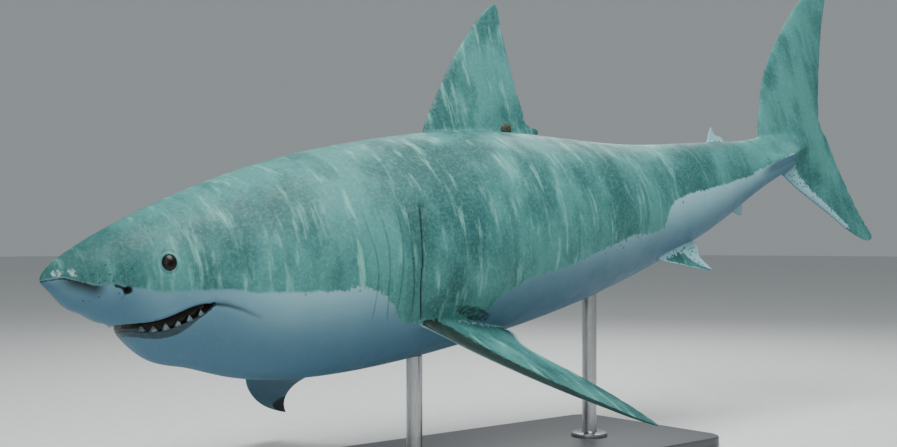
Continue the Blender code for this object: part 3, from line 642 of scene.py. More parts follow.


@dataclass(frozen=True)
class SharkHide:
    """Painted hide over cast resin: slate above, cool white below, with a ragged edge between them, and painted shade
    that greys the white where it turns down.
    """

    slate: str = "46827E"
    slate_dark: str = "275554"
    slate_light: str = "82C4B8"
    pale: str = "8BB8C0"
    pale_shadow: str = "3F657A"
    # pale spots, and painted light: the snout tip's patches and a highlight on the pectoral fins' rear edges
    fleck_and_light: str = "C3DAD8"
    # dark marks, also painted shade along the nostril's groove
    mark: str = "141F1A"
    # the mouth's inside: a near-black lining that is painted shade, and grey gum darkened by painted shade
    lining: str = "17130F"
    gum: str = "2F444C"
    pore: str = "1B2C2D"
    edge_run: float = 9 * MM  # how far the slate's edge wanders in its large lobes
    edge_tooth: float = 17 * MM  # and in its small teeth
    spot_spacing: float = 12 * MM
    pore_spacing: float = 9 * MM  # real pores are about 4 mm apart, drawn coarser to show
    grain: float = 3 * MM  # skin teeth are under 0.5 mm, drawn as coarse as it needs to show

    def build(self) -> bpy.types.Material:
        """The hide's material: a satin paint whose colour and relief follow the body."""
        made, tree, shader = new_material("painted_hide")
        marks = {
            mark: add_node(tree, "ShaderNodeAttribute", {"attribute_name": mark.value}).outputs[
                "Vector" if mark is Mark.LIE else "Fac"
            ]
            for mark in Mark
        }
        lie = marks[Mark.LIE]
        slate = self.slate_tone(tree, lie)
        pale = self.pale_tone(tree, lie, marks[Mark.UNDER])
        above = self.above_edge(tree, lie, marks)
        colour = self.mix(tree, above, pale, slate)
        for name, painter in (("mark", self.dark_marks), ("fleck_and_light", self.pale_marks), ("pore", self.pores)):
            colour = self.mix(tree, painter(tree, lie, marks), colour, linear(getattr(self, name)))
        rim = self.maths(tree, "MULTIPLY", marks[Mark.RIM], 0.45)
        colour = self.mix(tree, rim, colour, linear("2C4644"))
        # painted shade: slits, nostrils, folds, the eye's edge and the band under the snout go towards near black
        shade = add_node(tree, "ShaderNodeMath", {"operation": "MULTIPLY"}, {0: marks[Mark.SHADE], 1: 0.92}).outputs[0]
        colour = self.mix(tree, shade, colour, linear("0F1413"))
        within = self.between(tree, marks[Mark.LINING], 0.08, 0.42)
        colour = self.mix(tree, within, colour, self.lining_tone(tree, lie, marks))
        tree.links.new(colour, shader.inputs["Base Color"])
        tree.links.new(self.roughness(tree, lie, marks), shader.inputs["Roughness"])
        tree.links.new(self.relief(tree, lie), shader.inputs["Normal"])
        shader.inputs["IOR"].default_value = 1.30
        return made

    @staticmethod
    def mix(tree, factor, low, high):
        """Mixes two colours by a factor; each is a socket or a colour."""
        made = add_node(tree, "ShaderNodeMix", {"data_type": "RGBA"}, {0: factor, 6: low, 7: high})
        return made.outputs[2]

    @staticmethod
    def stretched(tree, lie, scale: Triple):
        """The body's coordinates, scaled along it, across it and up it."""
        return add_node(tree, "ShaderNodeMapping", None, {"Vector": lie, "Scale": scale}).outputs["Vector"]

    @staticmethod
    def noise(tree, vector, size: float, detail: float = 4.0, rough: float = 0.55):
        """Cloudy noise whose features are about size metres across."""
        inputs = {"Vector": vector, "Scale": 1 / size, "Detail": detail, "Roughness": rough}
        return add_node(tree, "ShaderNodeTexNoise", None, inputs).outputs["Fac"]

    @staticmethod
    def between(tree, value, low: float, high: float, out_low: float = 0.0, out_high: float = 1.0):
        """A soft step of a value from out_low at low to out_high at high."""
        inputs = {0: value, 1: low, 2: high, 3: out_low, 4: out_high}
        made = add_node(tree, "ShaderNodeMapRange", {"interpolation_type": "SMOOTHSTEP"}, inputs)
        return made.outputs[0]

    @staticmethod
    def maths(tree, operation: str, first, second):
        """One sum of two values."""
        return add_node(tree, "ShaderNodeMath", {"operation": operation}, {0: first, 1: second}).outputs[0]

    def slate_tone(self, tree, lie):
        """The upper side: clouds of slate, upright bands and streaks, and fine mottling."""
        clouds = self.noise(tree, self.stretched(tree, lie, (1.0, 1.0, 0.6)), 0.24, 5.0, 0.6)
        colour = self.mix(tree, self.between(tree, clouds, 0.36, 0.60), linear(self.slate_dark), linear(self.slate))
        bands = self.noise(tree, self.stretched(tree, lie, (1.0, 0.30, 0.22)), 0.060, 3.0, 0.5)
        dark = self.between(tree, bands, 0.47, 0.30, 0.0, 0.55)
        colour = self.mix(tree, dark, colour, linear(self.slate_dark))
        streaks = self.noise(tree, self.stretched(tree, lie, (1.0, 0.25, 0.16)), 0.026, 4.0, 0.6)
        place = add_node(tree, "ShaderNodeSeparateXYZ", None, {0: lie}).outputs[0]
        streaked = self.between(tree, place, 2.0, 2.5, 0.55, 0.06)
        streaks = self.maths(tree, "MULTIPLY", self.between(tree, streaks, 0.52, 0.74), streaked)
        colour = self.mix(tree, streaks, colour, linear(self.slate_light))
        fine = self.noise(tree, lie, 9 * MM, 6.0, 0.7)
        colour = self.mix(tree, self.between(tree, fine, 0.42, 0.75, 0.0, 0.22), colour, linear(self.slate_light))
        return self.mix(tree, self.between(tree, place, 0.42, 0.05, 0.0, 0.45), colour, linear(self.slate_dark))

    def pale_tone(self, tree, lie, under):
        """The underside: cool white, clouded, with painted shade that greys it where it turns down."""
        clouds = self.noise(tree, lie, 0.16, 5.0, 0.6)
        low = self.maths(tree, "MULTIPLY_ADD", clouds, 0.20)
        tree.links.new(under, low.node.inputs[2])
        shaded = self.between(tree, low, 0.10, 1.10, 0.0, 0.95)
        colour = self.mix(tree, shaded, linear(self.pale), linear(self.pale_shadow))
        fine = self.noise(tree, lie, 12 * MM, 5.0, 0.7)
        return self.mix(tree, self.between(tree, fine, 0.55, 0.80, 0.0, 0.30), colour, linear("7C979C"))

    def above_edge(self, tree, lie, marks):
        """1 in the slate, 0 in the white: the painted border, made ragged and spotted."""
        lobes = self.maths(tree, "SUBTRACT", self.noise(tree, lie, 0.075, 3.0), 0.5)
        teeth = self.noise(tree, self.stretched(tree, lie, (1.0, 1.0, 0.38)), 9 * MM, 3.0, 0.65)
        toothed = self.between(tree, marks[Mark.SPECKLE], 0.0, 0.25, 0.25, 1.0)
        teeth = self.maths(tree, "MULTIPLY", self.maths(tree, "SUBTRACT", teeth, 0.5), toothed)
        edge = self.maths(tree, "MULTIPLY_ADD", lobes, self.edge_run)
        tree.links.new(marks[Mark.BORDER], edge.node.inputs[2])
        jagged = self.maths(tree, "MULTIPLY_ADD", teeth, self.edge_tooth * 2)
        tree.links.new(edge, jagged.node.inputs[2])
        crisp = self.between(tree, marks[Mark.SPECKLE], 0.0, 0.25, 5.0 * MM, 1.5 * MM)
        above = self.between(tree, jagged, self.maths(tree, "MULTIPLY", crisp, -1.0), crisp)
        near = self.between(tree, marks[Mark.BORDER], -44 * MM, -4 * MM, 0.0, 0.62)
        spots = self.spots(tree, lie, self.spot_spacing, 0.40, self.maths(tree, "MULTIPLY", near, marks[Mark.SPECKLE]))
        return self.maths(tree, "MAXIMUM", above, spots)

    @staticmethod
    def spots(tree, lie, spacing: float, radius: float, kept):
        """Round spots, about spacing metres apart, of which the share kept shows.

        Args:
            tree: the material's tree.
            lie: the body's coordinates.
            spacing: distance between spots, m.
            radius: size of a spot as a share of the spacing.
            kept: share of the cells that hold a spot, a number or a socket.

        Returns:
            A socket that is 1 in a spot.
        """
        cells = add_node(tree, "ShaderNodeTexVoronoi", None, {"Vector": lie, "Scale": 1 / spacing, "Randomness": 1.0})
        chance = add_node(tree, "ShaderNodeSeparateColor", None, {0: cells.outputs["Color"]}).outputs[0]
        chosen = SharkHide.maths(tree, "LESS_THAN", chance, kept)
        inside = SharkHide.between(tree, cells.outputs["Distance"], radius, radius * 0.6)
        return SharkHide.maths(tree, "MULTIPLY", inside, chosen)

    def dark_marks(self, tree, lie, marks):
        """Olive-black marks with a broken edge."""
        ragged = self.maths(tree, "MULTIPLY_ADD", self.noise(tree, lie, 12 * MM, 4.0, 0.65), 0.5)
        tree.links.new(marks[Mark.DARK], ragged.node.inputs[2])
        return self.between(tree, ragged, 0.68, 0.86, 0.0, 0.92)

    def pale_marks(self, tree, lie, marks):
        """Pale spots and pale edges, some of them painted light, where the pale mark runs high."""
        ragged = self.maths(tree, "MULTIPLY_ADD", self.noise(tree, lie, 10 * MM, 4.0, 0.65), 0.5)
        tree.links.new(marks[Mark.PALE], ragged.node.inputs[2])
        return self.between(tree, ragged, 0.70, 0.90, 0.0, 0.85)

    def pores(self, tree, lie, marks):
        """Dark pores on the snout."""
        kept = self.between(tree, marks[Mark.PORES], 0.1, 1.0, 0.0, 0.7)
        return self.maths(tree, "MULTIPLY", self.spots(tree, lie, self.pore_spacing, 0.30, kept), 0.7)

    def lining_tone(self, tree, lie, marks):
        """Inside the mouth: grey gum at the lip, darkened by painted shade, and near-black painted shade within."""
        clouds = self.noise(tree, lie, 14 * MM, 4.0, 0.6)
        deep = self.between(tree, marks[Mark.LINING], 0.58, 0.92)
        gum = self.mix(tree, self.between(tree, clouds, 0.35, 0.7), linear(self.gum), linear("24363C"))
        return self.mix(tree, deep, gum, linear(self.lining))

    def roughness(self, tree, lie, marks):
        """Satin hide with duller patches, and a wet mouth."""
        patches = self.between(tree, self.noise(tree, lie, 0.05, 4.0), 0.3, 0.7, 0.50, 0.66)
        return self.between_values(tree, marks[Mark.LINING], patches, 0.25)

    @staticmethod
    def between_values(tree, factor, low, high):
        """Mixes two numbers by a factor."""
        return add_node(tree, "ShaderNodeMix", {"data_type": "FLOAT"}, {0: factor, 2: low, 3: high}).outputs[0]

    def relief(self, tree, lie):
        """Fine tooth of the hide over soft folds."""
        folds = self.noise(tree, self.stretched(tree, lie, (1.0, 0.6, 0.35)), 0.034, 3.0, 0.5)
        soft = add_node(tree, "ShaderNodeBump", None, {"Strength": 0.35, "Distance": 1.6 * MM, "Height": folds})
        grain = self.noise(tree, lie, self.grain, 3.0, 0.6)
        inputs = {"Strength": 0.30, "Distance": 0.35 * MM, "Height": grain, "Normal": soft.outputs["Normal"]}
        return add_node(tree, "ShaderNodeBump", None, inputs).outputs["Normal"]


@dataclass(frozen=True)
class GlassEye:
    """A dark glass eye, as taxidermists set: near black, with a brown iris just showing."""

    pupil: str = "050606"
    iris: str = "120D0A"
    rim: str = "0B0D0D"

    def build(self) -> bpy.types.Material:
        """Clear polished glass over a painted disc, so it gives one sharp highlight."""
        made, tree, shader = new_material("eye_glass")
        out = add_node(tree, "ShaderNodeAttribute", {"attribute_name": "iris_reach"}).outputs["Fac"]
        coordinate = add_node(tree, "ShaderNodeTexCoord").outputs["Object"]
        fibres = SharkHide.noise(tree, coordinate, 1.6 * MM, 4.0, 0.7)
        wavy = SharkHide.maths(tree, "MULTIPLY_ADD", fibres, 0.10)
        tree.links.new(out, wavy.node.inputs[2])
        stops = [(0.0, linear(self.pupil)), (0.42, linear(self.pupil)), (0.54, linear(self.iris))]
        stops += [(0.80, linear("1B120C")), (0.93, linear(self.rim))]
        ramp = add_node(tree, "ShaderNodeValToRGB", {"stops": stops}, {"Fac": wavy})
        tree.links.new(ramp.outputs["Color"], shader.inputs["Base Color"])
        shader.inputs["Roughness"].default_value = 0.30
        shader.inputs["IOR"].default_value = 1.33
        return made


@dataclass(frozen=True)
class ToothEnamel:
    """Cast resin teeth, tinted dark grey-blue as painted shade inside the mouth, darker towards the root."""

    # painted shade: crown and root greyed as teeth lying in the mouth's shade, the root darkest
    crown: str = "5C7073"
    root: str = "384C53"

    def build(self) -> bpy.types.Material:
        """Hard and glossy, with faint upright growth lines."""
        made, tree, shader = new_material("tooth_enamel")
        height = add_node(tree, "ShaderNodeAttribute", {"attribute_name": "crown"}).outputs["Fac"]
        coordinate = add_node(tree, "ShaderNodeTexCoord").outputs["Object"]
        lines = SharkHide.noise(tree, SharkHide.stretched(tree, coordinate, (1.0, 1.0, 0.15)), 1.5 * MM, 3.0)
        lines_and_shade = SharkHide.maths(tree, "MULTIPLY_ADD", lines, 0.3)
        tree.links.new(height, lines_and_shade.node.inputs[2])
        stops = [(0.15, linear(self.root)), (0.70, linear(self.crown))]
        ramp = add_node(tree, "ShaderNodeValToRGB", {"stops": stops}, {"Fac": lines_and_shade})
        tree.links.new(ramp.outputs["Color"], shader.inputs["Base Color"])
        bump = add_node(tree, "ShaderNodeBump", None, {"Strength": 0.2, "Distance": 0.2 * MM, "Height": lines})
        tree.links.new(bump.outputs["Normal"], shader.inputs["Normal"])
        shader.inputs["Roughness"].default_value = 0.22
        shader.inputs["IOR"].default_value = 1.60
        return made


@dataclass(frozen=True)
class Plain:
    """A finish of one base colour that a fine pattern varies: lacquer, moulded plastic, weed or floor paint."""

    name: str
    colour: str
    other: str
    size: float  # of the pattern, m
    rough: tuple[float, float]
    stretch: Triple = (1.0, 1.0, 1.0)
    bump: float = 0.2 * MM
    metallic: float = 0.0
    coat: float = 0.0

    def build(self) -> bpy.types.Material:
        """Colour, roughness and relief all follow one noise, so worn places are also duller."""
        made, tree, shader = new_material(self.name)
        coordinate = add_node(tree, "ShaderNodeTexCoord").outputs["Object"]
        pattern = SharkHide.noise(tree, SharkHide.stretched(tree, coordinate, self.stretch), self.size, 5.0, 0.6)
        level = SharkHide.between(tree, pattern, 0.32, 0.70)
        colour = SharkHide.mix(tree, level, linear(self.colour), linear(self.other))
        tree.links.new(colour, shader.inputs["Base Color"])
        rough = SharkHide.between_values(tree, level, self.rough[0], self.rough[1])
        tree.links.new(rough, shader.inputs["Roughness"])
        bump = add_node(tree, "ShaderNodeBump", None, {"Strength": 0.5, "Distance": self.bump, "Height": pattern})
        tree.links.new(bump.outputs["Normal"], shader.inputs["Normal"])
        shader.inputs["Metallic"].default_value = self.metallic
        shader.inputs["Coat Weight"].default_value = self.coat
        return made


# satin lacquer, sprayed: a faint orange-peel keeps its highlight from being a mirror's
BOARD_LACQUER = Plain("satin_lacquer", "3A3D3F", "42464A", 2.5 * MM, (0.40, 0.48), bump=0.05 * MM, coat=0.15)
# stainless steel, brushed along the rod: long fine lines that spread the highlight sideways
BRUSHED_STEEL = Plain("brushed_steel", "B4B6B7", "9A9C9E", 0.9 * MM, (0.24, 0.36), (1.0, 1.0, 0.02), 0.03 * MM, 1.0)
# nylon, moulded and long in the sea: dark, matt and fouled
TAG_NYLON = Plain("fouled_nylon", "20261F", "3B3A28", 4.0 * MM, (0.55, 0.80), bump=0.6 * MM)
# green weed on the tag: wet, in two greens
GREEN_WEED = Plain("green_weed", "3F6B1E", "6E9A2C", 3.0 * MM, (0.45, 0.65), bump=0.4 * MM)
# floor paint, rolled: pale and matt
FLOOR_PAINT = Plain("floor_paint", "D9DAD9", "DFE0DF", 60.0 * MM, (0.75, 0.85), bump=0.05 * MM)


# ---- the skin ------------------------------------------------------------------------------------------
@dataclass
class Eye:
    """Size and place of the eyes, as fractions of the length."""

    body: BodyForm
    at: float = 0.0738
    z: float = 0.0030
    size: Triple = (0.0058, 0.0042, 0.0066)  # half length, half depth, half height
    proud: float = 0.0020
    lid: float = 1.0 * MM

    def surface(self, side: int) -> Array:
        """The point of the head's side that the eye looks out of."""
        return self.body.spine.place(self.at, side * self.body.flank(self.at, self.z), self.z)

    def axes(self, side: int) -> tuple[Array, Array, Array]:
        """World unit vectors back along the head's side, square out of it and up along it."""
        tail, left, back = self.body.spine.directions(np.array(self.at))
        step = 0.004
        flank = self.body.flank
        slope = (flank(self.at + step, self.z) - flank(self.at - step, self.z)) / (2 * step)
        lean = (flank(self.at, self.z + step) - flank(self.at, self.z - step)) / (2 * step)
        normal = left * side - tail * slope - back * lean
        normal /= np.linalg.norm(normal)
        up = back - normal * back.dot(normal)
        up /= np.linalg.norm(up)
        along = np.cross(normal, up)
        return along * math.copysign(1, along.dot(tail)), normal, up

    def aperture(self) -> tuple[float, float]:
        """Half length and half height of the part of the ball that shows, m."""
        share = math.sqrt(1 - (1 - self.proud / self.size[1]) ** 2)
        return self.size[0] * share * self.body.spine.length, self.size[2] * share * self.body.spine.length

    def reach(self, points: Array, side: int) -> Array:
        """How far from the eye's middle each point is, 1 on the edge of the aperture; far ones are 99."""
        along, normal, up = self.axes(side)
        off = points - self.surface(side)
        across, height = self.aperture()
        found = np.hypot(off @ along / across, off @ up / height)
        return np.where(np.abs(off @ normal) < 0.05, found, 99.0)

    def ball(self, side: int, finish: bpy.types.Material) -> bpy.types.Object:
        """One eyeball, with its distance from the pupil's middle stored for the iris."""
        label = "left" if side > 0 else "right"
        along, normal, up = self.axes(side)
        size = np.array(self.size) * self.body.spine.length
        centre = self.surface(side) - normal * (size[1] - self.proud * self.body.spine.length)
        work = bmesh.new()
        bmesh.ops.create_uvsphere(work, u_segments=48, v_segments=32, radius=1.0)
        unit = np.array([v.co for v in work.verts])
        flat = np.hypot(unit[:, 0], unit[:, 1])
        placed = centre + unit[:, :1] * along * size[0] + unit[:, 1:2] * up * size[2] + unit[:, 2:] * normal * size[1]
        for vertex, place in zip(work.verts, placed):
            vertex.co = place
        bmesh.ops.recalc_face_normals(work, faces=work.faces)
        mesh = bpy.data.meshes.new("eyeball_" + label)
        work.to_mesh(mesh)
        work.free()
        made = bpy.data.objects.new("eyeball_" + label, mesh)
        bpy.context.scene.collection.objects.link(made)
        share = math.sqrt(1 - (1 - self.proud / self.size[1]) ** 2)
        set_attribute(made, "iris_reach", np.where(unit[:, 2] > 0, flat / share, 2.0))
        return dressed(made, finish, 180.0)


@dataclass
class Nostril:
    """A slanting nostril with a small flap under its front."""

    at: float = 0.0474
    z: float = -0.0126
    pit: Triple = (8.5 * MM, 9.0 * MM, 12.0 * MM)  # half length, half height and depth
    groove: tuple[tuple[float, float], ...] = ((-38 * MM, 20 * MM), (-18 * MM, 11 * MM), (0.0, 0.0))
    under: tuple[tuple[float, float], ...] = ((-2 * MM, -4 * MM), (-9 * MM, -16 * MM), (-14 * MM, -24 * MM))


@dataclass
class Gills:
    """Five slits down each side of the neck: (s, z) points of each, from the top down."""

    slits: Sequence[Sequence[tuple[float, float]]] = (
        ((0.2170, 0.029), (0.2200, 0.003), (0.2228, -0.020), (0.2214, -0.039), (0.2205, -0.058)),
        ((0.2318, 0.028), (0.2335, -0.004), (0.2328, -0.022), (0.2321, -0.041), (0.2346, -0.060)),
        ((0.2484, 0.029), (0.2477, 0.0135), (0.2452, -0.017), (0.2422, -0.042), (0.2414, -0.058)),
        ((0.2586, 0.031), (0.2560, 0.008), (0.2545, -0.011), (0.2545, -0.029), (0.2561, -0.0605)),
        ((0.2720, 0.030), (0.2648, 0.0025), (0.2626, -0.018), (0.2612, -0.039), (0.2687, -0.066)),
    )
    strength: Series = (0.28, 0.30, 0.34, 0.40, 1.0)  # the rear slit gapes most
    depth: float = 9 * MM
    width: float = 2.4 * MM
    flap: float = 5.0 * MM

    def line(self, slit: Sequence[tuple[float, float]]) -> Callable[[Array], Array]:
        """s of a slit as a function of z."""
        points = sorted((z, s) for s, z in slit)
        return spline([z for z, _ in points], [s for _, s in points])


def segment_distance(u: Array, v: Array, path: Sequence[tuple[float, float]]) -> tuple[Array, Array]:
    """Distance of (u, v) points from a bent line, and the share of the line where it is nearest."""
    best = np.full(u.shape, 1e9)
    share = np.zeros(u.shape)
    count = len(path) - 1
    for k in range(count):
        (ax, ay), (bx, by) = path[k], path[k + 1]
        dx, dy = bx - ax, by - ay
        t = np.clip(((u - ax) * dx + (v - ay) * dy) / (dx * dx + dy * dy), 0, 1)
        gap = np.hypot(u - ax - t * dx, v - ay - t * dy)
        share = np.where(gap < best, (k + t) / count, share)
        best = np.minimum(best, gap)
    return best, share


@dataclass
class SharkSkin:
    """The one skin that goes over all the flesh."""

    body: BodyForm
    mouth: Mouth
    eye: Eye
    fins: list[Fin]
    nostril: Nostril = field(default_factory=Nostril)
    gills: Gills = field(default_factory=Gills)
    jaw_fold: tuple[tuple[float, float], ...] = ((0.1000, -0.0283), (0.1090, -0.0303), (0.1200, -0.0350), (0.1330, -0.0425))
    # height of the slate's lower edge along the body; over the pectoral fins it runs down onto them
    edge_at: Series = (
        0.000, 0.011, 0.028, 0.040, 0.067, 0.110, 0.128, 0.191, 0.211, 0.232, 0.239, 0.245, 0.252, 0.272, 0.330,
        0.351, 0.368, 0.379, 0.424, 0.517, 0.560, 0.573, 0.577, 0.587, 0.602, 0.735, 0.813, 0.830, 0.845, 0.875,
    )  # fmt: skip
    edge_z: Series = (
        0.0000, 0.0005, -0.0068, -0.0071, -0.0161, -0.0191, -0.0240, -0.0319, -0.0288, -0.0415, -0.0474, -0.0575,
        -0.0618, -0.0655, -0.0700, -0.0537, -0.0485, -0.0453, -0.0428, -0.0296, -0.0321, -0.0295, -0.0164,
        -0.0094, -0.0058, -0.0048, 0.0048, 0.0000, -0.0120, -0.0250,
    )  # fmt: skip
    junction_reach: float = 17 * MM

    def build(self, finish: bpy.types.Material) -> bpy.types.Object:
        """Joins, refines, smooths, sculpts and paints the skin."""
        skin = self.joined()
        self.refine(skin)
        points, edges = self.read(skin)
        source = self.nearest_source(points)
        s, y, z = self.body.spine.locate(points)
        points = self.soften(points, edges, (s, y, z))
        skin.data.vertices.foreach_set("co", points.ravel())
        skin.data.update()
        s, y, z = self.body.spine.locate(points)
        normals = self.normals(skin)
        depth, shade, rim = self.sculpting(points, s, y, z, source)
        points = points + normals * depth[:, None]
        skin.data.vertices.foreach_set("co", points.ravel())
        skin.data.update()
        # painted shade on the underside follows how far the skin faces down
        facing = -np.sum(normals * self.body.spine.directions(s)[2], -1)
        self.paint(skin, (s, y, z), source, {Mark.SHADE: shade, Mark.RIM: rim, Mark.UNDER: self.under(s, facing)})
        return dressed(skin, finish, 180.0)

    def joined(self) -> bpy.types.Object:
        """The body with its fins joined on and its mouth opened, as one closed mesh."""
        stations, rings = self.body.rings()
        self.sources = [(rings.reshape(-1, 3), -1, np.repeat(stations, rings.shape[1]), None)]
        points, faces = tube(rings)
        nose = self.body.spine.place(0.0, 0.0, 0.0)
        faces = faces[:-1]
        count = rings.shape[1]
        faces += [(len(points), (k + 1) % count, k) for k in range(count)]
        skin = new_object("shark_skin", np.vstack([points, nose]), faces)
        helpers = []
        for number, fin in enumerate(self.fins):
            loops, t = fin.rings()
            helpers.append(new_object(fin.name + "_loft", *tube(loops)))
            across = np.tile(fin.chord_share(), len(t))
            across = np.where(np.tile(np.arange(loops.shape[1]) <= fin.points_across, len(t)), across, -across - 1e-6)
            self.sources.append((loops.reshape(-1, 3), number, np.repeat(t, loops.shape[1]), across))
            self.boolean(skin, helpers[-1], "UNION")
        helpers.append(self.mouth.cutter())
        self.boolean(skin, helpers[-1], "DIFFERENCE")
        helpers.append(self.mouth.tongue())
        self.boolean(skin, helpers[-1], "UNION")
        made = finished(skin, "shark_skin")
        for helper in helpers:
            bpy.data.objects.remove(helper, do_unlink=True)
        return made

    @staticmethod
    def boolean(target: bpy.types.Object, other: bpy.types.Object, operation: str) -> None:
        """Joins or cuts target by another closed mesh."""
        modifier = target.modifiers.new(other.name, "BOOLEAN")
        modifier.object, modifier.operation, modifier.solver = other, operation, "MANIFOLD"

    def refine(self, skin: bpy.types.Object) -> None:
        """Splits the faces round eyes, nostrils, gills, lips and fin feet, then makes all of them triangles."""
        work = bmesh.new()
        work.from_mesh(skin.data)
        bmesh.ops.remove_doubles(work, verts=work.verts, dist=0.4 * MM)
        for level in range(2):
            points = np.array([v.co for v in work.verts])
            wanted = self.wants_detail(points, level)
            work.verts.index_update()
            chosen = [e for e in work.edges if wanted[e.verts[0].index] and wanted[e.verts[1].index]]
            chosen = [e for e in chosen if e.calc_length() > 3.0 * MM]
            bmesh.ops.subdivide_edges(work, edges=chosen, cuts=1, use_grid_fill=True)
        bmesh.ops.triangulate(work, faces=work.faces)
        bmesh.ops.recalc_face_normals(work, faces=work.faces)
        work.to_mesh(skin.data)
        work.free()

    def wants_detail(self, points: Array, level: int) -> Array:
        """Which points lie where the mesh has to be finer at a level of splitting."""
        s, y, z = self.body.spine.locate(points)
        length = self.body.spine.length
        wanted = np.zeros(len(points), bool)
        for side in (1, -1):
            wanted |= self.eye.reach(points, side) < (2.1, 1.55)[level]
        near = np.hypot(s - self.nostril.at, z - self.nostril.z) * length
        wanted |= near < (34 * MM, 20 * MM)[level]
        away = self.body.off_skin(s, y, z) * length
        lips = (s > 0.041) & (s < 0.108) & (away > -14 * MM) & (away < 3 * MM) & (level == 0)
        wanted |= lips & (z > self.mouth.floor_at(s) - 0.004) & (z < self.mouth.roof_at(s) + 0.004)
        for slit in self.gills.slits:
            close = np.abs(s - self.gills.line(slit)(z)) * length < 9 * MM
            wanted |= close & (z > -0.070) & (z < 0.034) & (away > -5 * MM) & (level == 0) & (away < 4 * MM)
        fold, _ = segment_distance(s, z, self.jaw_fold)
        wanted |= (fold * length < (16 * MM, 9 * MM)[level]) & (away > -5 * MM) & (away < 5 * MM)
        joins = self.junction_points()
        return wanted | (self.gap_to(points, joins) < (34 * MM, 20 * MM)[level])

    def junction_points(self) -> Array:
        """Points where a fin's loft passes through the body's skin."""
        found = []
        for loft, number, _, _ in self.sources[1:]:
            s, y, z = self.body.spine.locate(loft)
            off = self.body.off_skin(s, y, z) * self.body.spine.length
            count = len(self.fins[number].chord_share())
            rows = off.reshape(-1, count)
            grid = loft.reshape(-1, count, 3)
            if "lobe" in self.fins[number].name:
                found.append(grid[0, ::2])
            for row in range(len(rows) - 1):
                cross = (rows[row] < 0) != (rows[row + 1] < 0)
                share = rows[row] / np.where(cross, rows[row] - rows[row + 1], 1.0)
                place = grid[row] + (grid[row + 1] - grid[row]) * share[:, None]
                at = self.body.spine.locate(place)[0]
                found.append(place[cross & (at < self.body.runs[-1][0] - 0.001)])
        return np.concatenate(found)

    @staticmethod
    def gap_to(points: Array, others: Array) -> Array:
        """Distance of each point from the nearest of some others."""
        tree = kdtree.KDTree(len(others))
        for index, place in enumerate(others):
            tree.insert(place, index)
        tree.balance()
        return np.array([tree.find(point)[2] for point in points])

    @staticmethod
    def read(skin: bpy.types.Object) -> tuple[Array, Array]:
        """The mesh's points and edges."""
        points = np.empty(len(skin.data.vertices) * 3)
        skin.data.vertices.foreach_get("co", points)
        edges = np.empty(len(skin.data.edges) * 2, np.int64)
        skin.data.edges.foreach_get("vertices", edges)
        return points.reshape(-1, 3), edges.reshape(-1, 2)

    @staticmethod
    def normals(skin: bpy.types.Object) -> Array:
        """The outward direction at each vertex."""
        found = np.empty(len(skin.data.vertices) * 3, np.float32)
        skin.data.vertex_normals.foreach_get("vector", found)
        return found.reshape(-1, 3).astype(float)

    def nearest_source(self, points: Array) -> tuple[Array, Array, Array]:
        """For each point: its fin (-1 for the body), and its shares along it and back on it, minus on the under side."""
        places = np.concatenate([source[0] for source in self.sources])
        fin = np.concatenate([np.full(len(source[0]), source[1]) for source in self.sources])
        along = np.concatenate([source[2] for source in self.sources])
        across = np.concatenate([np.zeros(len(source[0])) if source[3] is None else source[3] for source in self.sources])
        tree = kdtree.KDTree(len(places))
        for index, place in enumerate(places):
            tree.insert(place, index)
        tree.balance()
        nearest = np.array([tree.find(point)[1] for point in points])
        return fin[nearest], along[nearest], across[nearest]

    def soften(self, points: Array, edges: Array, at: tuple[Array, Array, Array]) -> Array:
        """Rounds the fins' feet into the body, and the lips."""
        s, y, z = at
        length = self.body.spine.length
        away = self.body.off_skin(s, y, z) * length
        joins = self.junction_points()
        foot = bell(self.gap_to(points, joins), self.junction_reach)
        points = self.relaxed(points, edges, np.where(foot > 0.02, foot, 0.0) * 0.9, 26)
        near_lip = np.minimum(np.abs(z - self.mouth.roof_at(s)), np.abs(z - self.mouth.floor_at(s))) * length
        lips = bell(near_lip, 5 * MM) * bell(away, 6 * MM) * (s > 0.042) * (s < 0.104)
        lips *= 1 - bell((s - 0.101) * length, 6 * MM) * 0.5
        return self.relaxed(points, edges, lips * 0.7, 5)

    @staticmethod
    def relaxed(points: Array, edges: Array, weight: Array, rounds: int) -> Array:
        """Moves each point towards the mean of its neighbours, by its weight, a number of times."""
        a, b = edges.T
        size = len(points)
        count = np.maximum(np.bincount(np.concatenate([a, b]), minlength=size), 1)
        for _ in range(rounds):
            total = [np.bincount(a, points[b, k], size) + np.bincount(b, points[a, k], size) for k in range(3)]
            points = points + weight[:, None] * (np.stack(total, -1) / count[:, None] - points)
        return points

    def sculpting(self, points: Array, s: Array, y: Array, z: Array, source: tuple) -> tuple[Array, Array, Array]:
        """How far each point moves out along its normal, its share of painted shade, and of the lid's rim."""
        length = self.body.spine.length
        away = self.body.off_skin(s, y, z) * length
        outside = (source[0] < 0) & (away > -5 * MM) & (away < 5 * MM)
        depth, shade, rim = np.zeros(len(s)), np.zeros(len(s)), np.zeros(len(s))
        for side in (1, -1):
            reach = self.eye.reach(points, side)
            depth += self.eye.lid * bell(reach - 1.10, 0.13) - 1.2 * MM * bell(reach - 1.42, 0.14)
            depth -= 15 * MM * smooth((0.98 - reach) / 0.30)
            rim += bell(reach - 1.05, 0.055)
